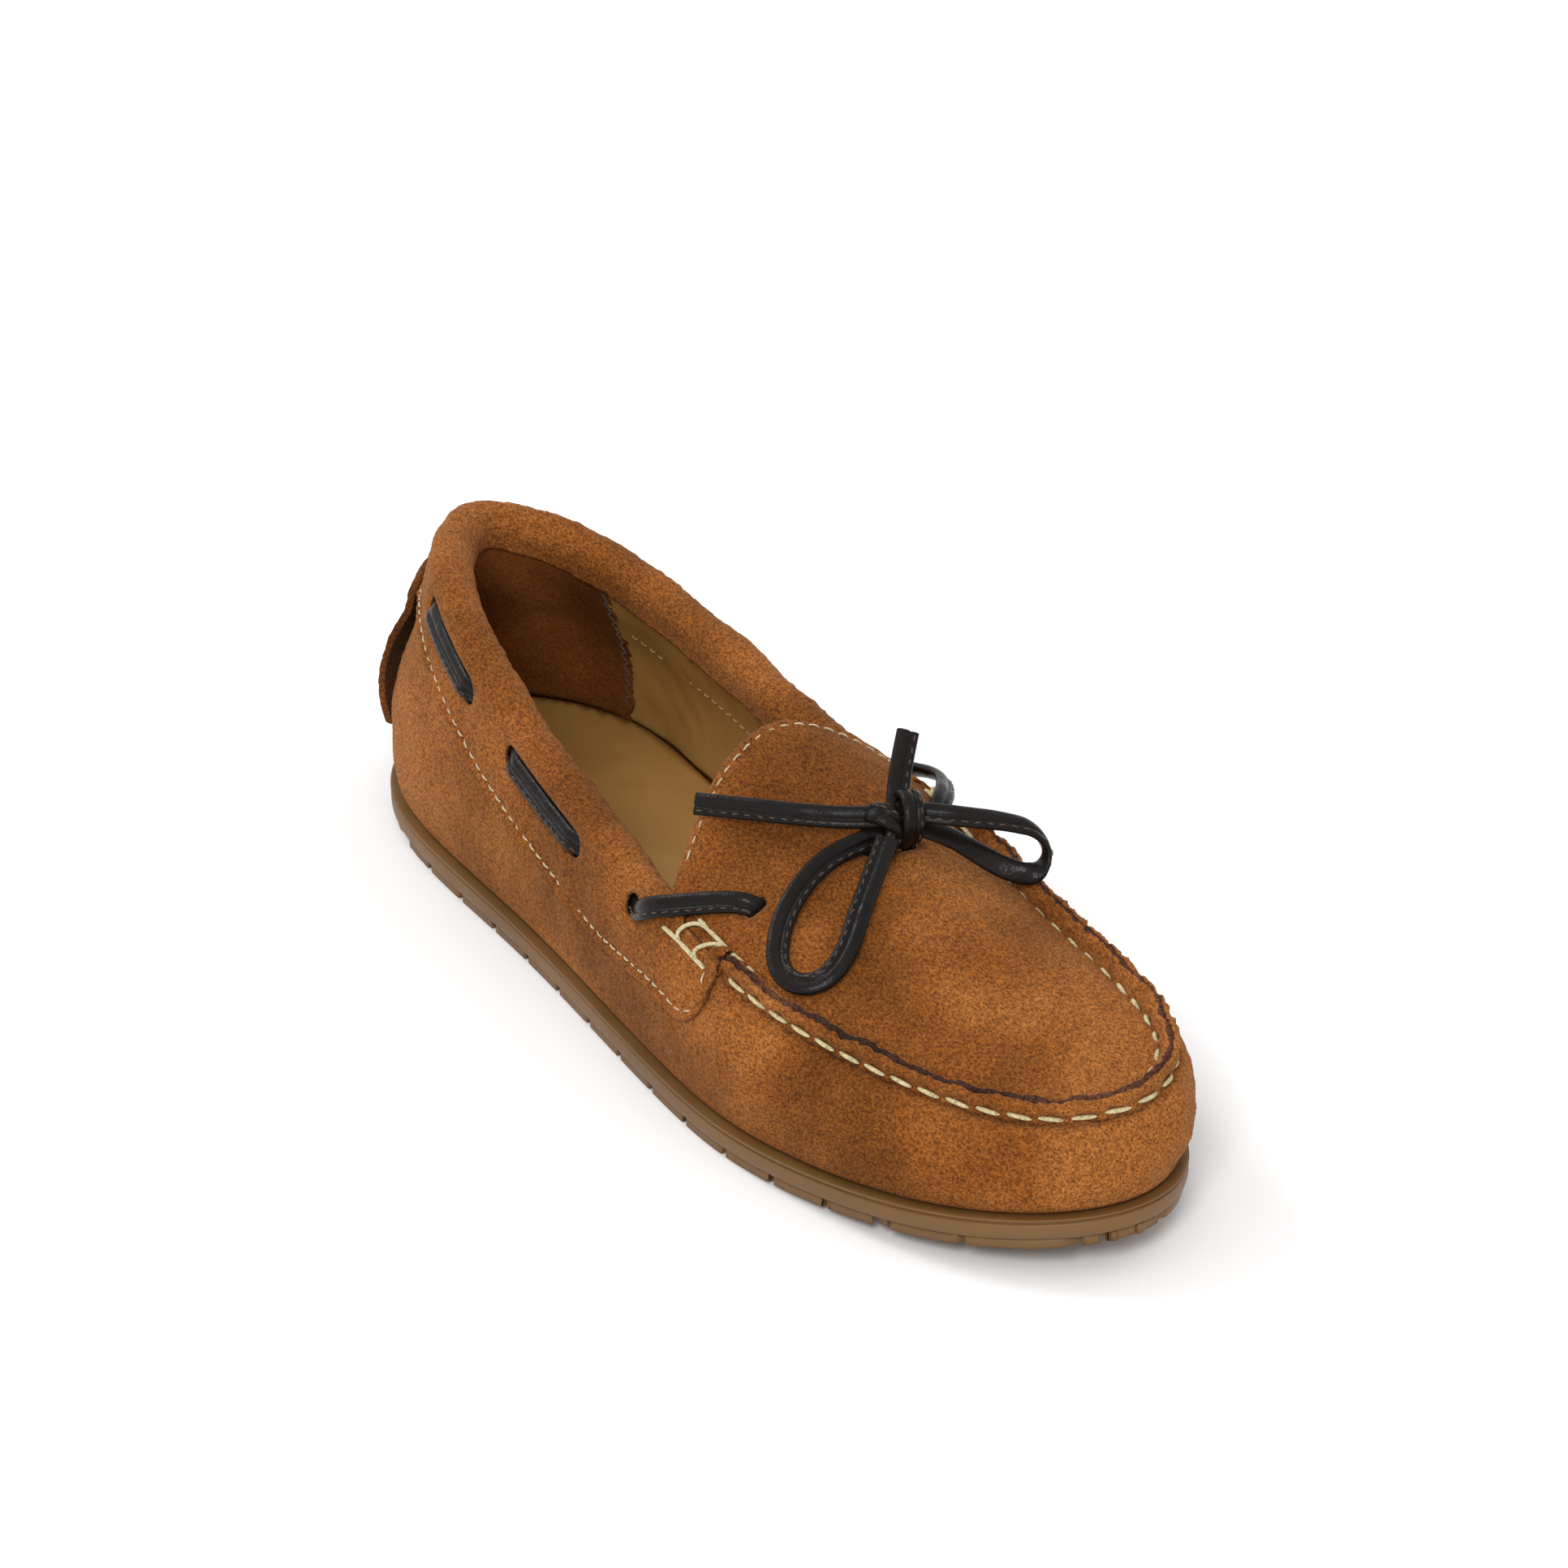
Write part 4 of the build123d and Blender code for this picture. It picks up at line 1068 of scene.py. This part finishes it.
def make_ladder(side):
    """Threads that arch from the collar tab to the tongue, with a chain down each side."""
    tab, turn = TABS[side]
    bundle = Bundle()
    feet = [on_wall(tab - turn * back, 3.4, -BAND - 0.35)[0] for back in (0.56, 0.39, 0.2, 0.1)]
    heads = []
    for back in (0.40, 0.30, 0.05, -0.13, -0.26):
        inner = on_wall(tab - turn * back, 0.4, 0.0)[0]
        inward = unit(inner - on_wall(tab - turn * back, 2.4, 0.0)[0])
        head = inner + np.array([inward[0], inward[1], 0]) * 2.8
        head[2] = apron_height(head[0], head[1]) + 0.45
        heads.append(head)
    up = unit(np.array([-0.3 * turn, 0.0, 1.0]))

    def arc(a, b, rise, lean=0.0, radius=0.5):
        t = np.linspace(0, 1, 15)[:, None]
        hump = np.sqrt(np.maximum(1 - np.abs(2 * t - 1) ** 2.4, 0))
        line = a + (b - a) * t + (up * rise + np.array([0, 1, 0]) * lean) * hump
        bundle.add(thread_rings(line, np.repeat([up], 15, axis=0), radius, 0.7))

    for a, b in (*zip(feet, feet[1:]), *zip(heads[:2], heads[1:3])):
        arc(a, b, 0.3)
    arc(heads[3] + (heads[2] - heads[3]) * 0.75, heads[3], 0.3)
    arc(heads[4] + (heads[3] - heads[4]) * 0.6, heads[4], 0.2)
    for k in (1, 2):
        arc(feet[k], heads[k], 1.5, 2.2)
    return bundle.make(f"throat_stitching_{side}_thread", "thick_thread", thick_thread)


def make_ridge_curl(side):
    """The ridge's first end, curled round into a small lobe, with a dark suede tube standing in its hole as
    painted shade.
    """
    tab, turn = TABS[side]
    foot, up, out = ridge_frame(tab + turn * 0.02)
    along = unit(ridge_frame(tab - turn * 0.05)[0] - foot)
    face = unit(up + 0.35 * out)
    path = np.array([foot + face * 1.6 + along * (0.9 + 2.1 * cos(angle)) + out * 1.9 * sin(angle)
                     for angle in np.linspace(-0.5 * pi, 0.72 * pi, 22)])
    lobe = thread_rings(path, np.repeat([face], 22, axis=0), 1.45, 0.75, 14, 1.25)
    lobe = lobe + (0.1 * ripple(lobe, 2.0, 77))[..., None] * face
    # painted shade: a dark suede tube stands in the lobe's hole
    hole = thread_rings(np.array([foot + along * 0.9 + face * h for h in (0.0, 0.8, 1.6, 2.2)]),
                        np.repeat([out], 4, axis=0), 1.1, 0.8, 10, 1.0)
    tubes = Bundle()
    tubes.add(lobe)
    tubes.add(hole, kind=1)
    tubes.make(f"seam_ridge_curl_{side}", "suede", suede_tan, cut_edge_and_shade)


# ---------------------------------------------------------------- lace
# Half section of the folded strip: a rounded body, a groove and a thin stitched flange.
LACE_SECTION = np.array([
    (-2.3, 0.0), (-2.2, 0.5), (-1.85, 0.85), (-1.3, 1.0), (-0.6, 1.02), (0.0, 0.9), (0.35, 0.62),
    (0.55, 0.42), (0.75, 0.62), (1.05, 0.76), (1.5, 0.72), (2.0, 0.55), (2.25, 0.25), (2.3, 0.0),
    (2.2, -0.3), (1.8, -0.55), (1.0, -0.72), (0.0, -0.9), (-1.0, -0.95), (-1.8, -0.75), (-2.2, -0.4),
])


def nurbs_path(points, count_per_mm=2.2):
    """Evenly spaced points read from the NURBS spline with these control points, in mm."""
    curve = bpy.data.curves.new("route", "CURVE")
    curve.dimensions = "3D"
    curve.resolution_u = 24
    spline = curve.splines.new("NURBS")
    spline.points.add(len(points) - 1)
    for at, p in zip(spline.points, points):
        at.co = (*(np.array(p) * MM), 1)
    spline.order_u = 3
    spline.use_endpoint_u = True
    holder = bpy.data.objects.new("route", curve)
    mesh = bpy.data.meshes.new_from_object(holder)
    line = np.array([v.co[:] for v in mesh.vertices]) / MM
    bpy.data.meshes.remove(mesh)
    bpy.data.objects.remove(holder)
    bpy.data.curves.remove(curve)
    along = lengths_along(line)
    s = np.linspace(0, along[-1], max(int(along[-1] * count_per_mm), 12))
    return read_columns(s, along, line)


def spread_hints(hints, count):
    """A few directions, spread evenly over a path's points."""
    return read_columns(np.linspace(0, len(hints) - 1, count), np.arange(len(hints)), np.array(hints, float))


def lace_rings(path, hints, flip):
    """The lace's section at each point of a path; flip puts its flange on the other side."""
    up, side = ring_frames(path, hints)
    crease = 0.05 * ripple(path, 5, 101)[:, None, None]
    across = LACE_SECTION[None, :, :1] * flip
    rings = path[:, None, :] + across * side[:, None, :]
    rings = rings + LACE_SECTION[None, :, 1:] * (1 + crease) * up[:, None, :]
    return rings if flip > 0 else rings[:, ::-1]


def lace_stitches(bundle, path, hints, flip):
    """The fine row of stitches on the lace's flange."""
    up, side = ring_frames(path, hints)
    line = path + side * flip * 1.45 + up * 0.76
    dashes(bundle, line, up, 2.6, 1.7, 0.13, 111, 0.03)


def lace_piece(name, routes, stitches, closed=False):
    """One lace piece from (path, hints, flip) routes."""
    tubes = Bundle()
    for path, hints, flip in routes:
        tubes.add(lace_rings(path, hints, flip), closed=closed)
        lace_stitches(stitches, path, hints, flip)
    return tubes.make(name, "lace_leather", lace_leather)


def window_share(u):
    """1 where the lace lies open in a window, 0 where the band covers it."""
    u = u % COUNT
    share = 0.0
    for first, last in WINDOWS:
        for one, two in ((first, last), (COUNT - last, COUNT - first)):
            share = max(share, ramp(u, one - 0.02, one + 0.16) * (1 - ramp(u, two - 0.16, two + 0.02)))
    return share


def make_collar_run(stitches):
    """The lace inside the collar band, showing in the windows."""
    stations = stations_along(RUN_END_MEDIAL, COUNT + RUN_END_LATERAL, 0.8)
    depths = [1.15 - 2.1 * window_share(u) for u in stations]
    path = np.array([on_wall(u, LACE_BELOW, d)[0] for u, d in zip(stations, depths)])
    hints = np.array([wall_out(u, LACE_BELOW) + (0, 0, 0.6 * window_share(u)) for u in stations])
    return lace_piece("lace_collar_strip", [(path, hints, 1.0)], stitches)


def lace_point(u, depth):
    """A place on the lace's line round the collar."""
    return tuple(on_wall(u, LACE_BELOW, depth)[0])


TIE_LATERAL = [lace_point(RUN_END_LATERAL, 1.7), lace_point(EYELET_LATERAL, 0.9),
               lace_point(EYELET_LATERAL + 0.1, -2.2), (-38.4, -20.4, 40.6), (-33.4, -27.2, 43),
               (-28.8, -33, 45), (-25.2, -37.2, 45.6), (-22.4, -39, 42.8), (-21.5, -39.4, 40.7),
               (-12, -40.6, 43), (-1.5, -41.2, 46), (3.6, -41.2, 48.8), (4, -41, 53.9)]
TIE_MEDIAL = [lace_point(RUN_END_MEDIAL, 1.7), lace_point(EYELET_MEDIAL, 0.6),
              lace_point(EYELET_MEDIAL - 0.14, -4), (36.4, -9.8, 45.4), (32, -18.2, 47.2),
              (27.8, -23.2, 48), (25.4, -25.8, 45.6), (22.6, -28.6, 42), (16, -34.5, 43.6),
              (10.6, -40, 46.6), (9.2, -41, 49.4), (9, -41, 53.9)]
LOOP_LATERAL = [(4, -42.5, 56), (-3, -42, 55.2), (-11, -42.4, 53.8), (-19.5, -45.4, 50), (-26.2, -50.1, 45),
                (-30, -56.6, 40.8), (-28.4, -62.8, 39.8), (-23.6, -65.4, 41.6), (-18, -63.4, 45.4),
                (-11.9, -57.6, 49.5), (-5.2, -51.6, 53), (1.6, -45.4, 56.4)]
LOOP_MEDIAL = [(8, -42.5, 59.8), (14.2, -47.6, 59.4), (20.2, -50.2, 58.2), (25.8, -51.6, 56.6),
               (31.2, -53.2, 54.2), (33.4, -55.8, 49.6), (28.8, -56.8, 45.8), (24, -52.8, 47.4),
               (19.4, -48.8, 50.8), (14.8, -45.8, 54.2), (8.5, -43, 57)]
END_LATERAL = [(4.5, -42, 59.2), (-3, -38.4, 59.2), (-9.8, -32.4, 59), (-16.8, -24, 58.4), (-24, -14.4, 57.2)]
END_MEDIAL = [(7.5, -39.5, 59.5), (9.4, -36.8, 62.2), (12, -33.7, 65.6), (15.5, -30.3, 70)]


def bow_strand(name, end, loop, end_hints, loop_hints, flip, stitches):
    """A cut end of the lace that runs on through the knot into a loop, with its path."""
    path = nurbs_path(end[::-1] + loop)
    end_points, loop_points = [len(nurbs_path(part)) for part in (end, loop)]
    first = int(len(path) * end_points / (end_points + loop_points))
    hints = np.vstack([spread_hints(end_hints, first), spread_hints(loop_hints, len(path) - first)])
    return lace_piece(name, [(path, hints, flip)], stitches), path


def make_laces():
    """The whole lace: collar run, two ties, two bow strands, knot and fine stitches."""
    stitches = Bundle()
    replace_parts(make_collar_run(stitches), "lace_collar_run")
    hints_lateral = [(-0.8, 0, 0.5), (-0.7, -0.4, 0.6), (-0.3, -0.5, 0.8), (-0.2, -0.4, 0.9)]
    hints_medial = [(0.8, 0, 0.5), (0.6, -0.3, 0.7), (0.2, -0.5, 0.9), (0.1, -0.4, 0.9)]
    for name, route, hints, flip in (("lateral", TIE_LATERAL, hints_lateral, 1.0),
                                     ("medial", TIE_MEDIAL, hints_medial, -1.0)):
        path = nurbs_path(route)
        tie = lace_piece(f"lace_tie_{name}_strip", [(path, spread_hints(hints, len(path)), flip)], stitches)
        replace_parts(tie, f"lace_tie_{name}")
    turned = [(-0.1, -0.6, 0.8), (-0.1, -0.6, 0.8), (0.1, -0.45, 0.9), (0.9, -0.2, 0.3), (0.5, 0.5, -0.6),
              (0.0, 0.55, -0.8), (0.0, 0.55, -0.8)]
    face_up = [(-0.3, -0.7, 0.6)] + [(-0.3, -0.62, 0.72)] * 3
    strands = [
        bow_strand("lace_bow_medial_loop", END_LATERAL, LOOP_MEDIAL,
                   [(-0.4, -0.7, 0.6), (-0.3, -0.7, 0.6)], turned, 1.0, stitches),
        bow_strand("lace_bow_lateral_loop", END_MEDIAL, LOOP_LATERAL,
                   [(-0.45, -0.8, 0.1), (-0.4, -0.7, 0.6)], face_up, -1.0, stitches),
    ]
    knot = make_knot(stitches)
    stitches.make("lace_stitching", "lace_leather", brown_thread)
    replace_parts(strands[0][0], "lace_loop_medial", "lace_end_lateral")
    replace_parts(strands[1][0], "lace_loop_lateral", "lace_end_medial")
    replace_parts(knot, "lace_knot")
    for piece, path in strands:
        float(lengths_along(path)[-1] * MM)
        [tuple(p * MM) for p in path]


def closed_ring(centre, axis, radii):
    """A closed oval path round an axis, with outward hints."""
    axis = unit(axis)
    one = unit(np.cross(axis, (0, 0, 1)))
    two = np.cross(one, axis)
    turn = np.linspace(0, 2 * pi, 60, endpoint=False)[:, None]
    offset = radii[0] * np.cos(turn) * one + radii[1] * np.sin(turn) * two
    return np.array(centre) + offset, unit(offset)


def make_knot(stitches):
    """Three wraps of the lace that hold the bow."""
    wraps = (((8.4, -41.8, 57.6), (1.0, -0.25, -0.12), (4.3, 5.1)),
             ((2.6, -41.4, 55.2), (0.9, 0.1, -0.75), (3.4, 3.9)),
             ((4.0, -41.0, 57.6), (0.75, 0.35, 0.7), (3.6, 4.1)))
    routes = [(*closed_ring(*wrap), 1.0) for wrap in wraps]
    return lace_piece("lace_knot_wraps", routes, stitches, closed=True)


# ---------------------------------------------------------------- the pieces
for make_piece, node in ((make_wall, "vamp_wrap"), (make_band, "collar_band"), (make_heel_tab, "heel_tab"),
                         (make_apron, "apron"), (make_tongue_lining, "tongue_lining"),
                         (make_sock, "sock_lining"), (make_sole, "outsole")):
    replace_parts(make_piece(), node)
make_tread()
HEEL_FIRST, HEEL_LAST = HEEL_LINING_ENDS[1] - 0.1, COUNT + HEEL_LINING_ENDS[0] + 0.1
for node, first, last, seed in (("quarter_lining_lateral", HEEL_LINING_ENDS[0], 6.6, 201),
                                ("quarter_lining_medial", 15.3, HEEL_LINING_ENDS[1], 211),
                                ("vamp_lining", 6.6, 15.3, 221)):
    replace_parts(make_lining(f"{node}_leather", first, last, lining_leather, "lining_leather", seed), node)
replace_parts(make_lining("heel_lining_suede", HEEL_FIRST, HEEL_LAST, suede_heel_lining, "dark_suede", 231,
                        0.35, 0.05, 0.35), "heel_lining")
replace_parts(make_ridge_stitches(), "apron_stitching")
make_ridge()
make_band_stitches()
make_tongue_stitches()
make_lining_stitches()
make_heel_lining_stitches()
for side in TABS:
    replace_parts(make_ladder(side), f"throat_stitching_{side}")
    make_ridge_curl(side)
make_laces()

for name in ("midsole_filler", "insole_board", "footbed_foam", "toe_puff", "heel_counter", "collar_foam"):
    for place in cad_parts[name].material_slots:
        place.material = board


# ---------------------------------------------------------------- floor, light and camera
def make_floor():
    """A wide white floor under the shoe."""
    mesh = bpy.data.meshes.new("floor")
    size = 6.0
    corners = [(x * size, y * size, 0) for x, y in ((-1, -1), (1, -1), (1, 1), (-1, 1))]
    mesh.from_pydata(corners, [], [(0, 1, 2, 3)])
    made, _, shader = material("floor_white")
    set_inputs(shader, {"Base Color": (0.9, 0.9, 0.9, 1), "Roughness": 0.9, "Specular IOR Level": 0.1})
    mesh.materials.append(made)
    add_object("floor", mesh)


def aim(piece, place, target):
    """Put a light or a camera at a place, looking at the target."""
    piece.location = place
    piece.rotation_euler = (target - place).to_track_quat("-Z", "Y").to_euler()


def area_light(name, place, target, size, power):
    """A round white area light."""
    light = bpy.data.lights.new(name, "AREA")
    light.shape = "DISK"
    light.size = size
    light.energy = power
    aim(add_object(name, light), Vector(place), target)


make_floor()
world = bpy.data.worlds.new("studio")
bpy.context.scene.world = world
world.use_nodes = True
set_inputs(world.node_tree.nodes["Background"], {"Color": (1, 1, 1, 1), "Strength": 0.9})
SHOE_MIDDLE = Vector((0, 0, 0.03))
area_light("key", (-0.8, -1.0, 1.0), SHOE_MIDDLE, 0.5, 12)
area_light("back", (-0.6, 1.0, 1.3), SHOE_MIDDLE, 0.6, 7)
bpy.context.scene.view_settings.view_transform = "Standard"

TARGET = Vector((0.0048, 0.0, 0.0475))
VIEW_TURN, VIEW_RISE, VIEW_DISTANCE = radians(30.5), radians(27.5), 1.835
camera_data = bpy.data.cameras.new("camera")
camera_data.sensor_width = 36
camera_data.lens = 209.07
camera = add_object("camera", camera_data)
towards_camera = Vector((-sin(VIEW_TURN) * cos(VIEW_RISE), -cos(VIEW_TURN) * cos(VIEW_RISE), sin(VIEW_RISE)))
aim(camera, TARGET + VIEW_DISTANCE * towards_camera, TARGET)
bpy.context.scene.camera = camera
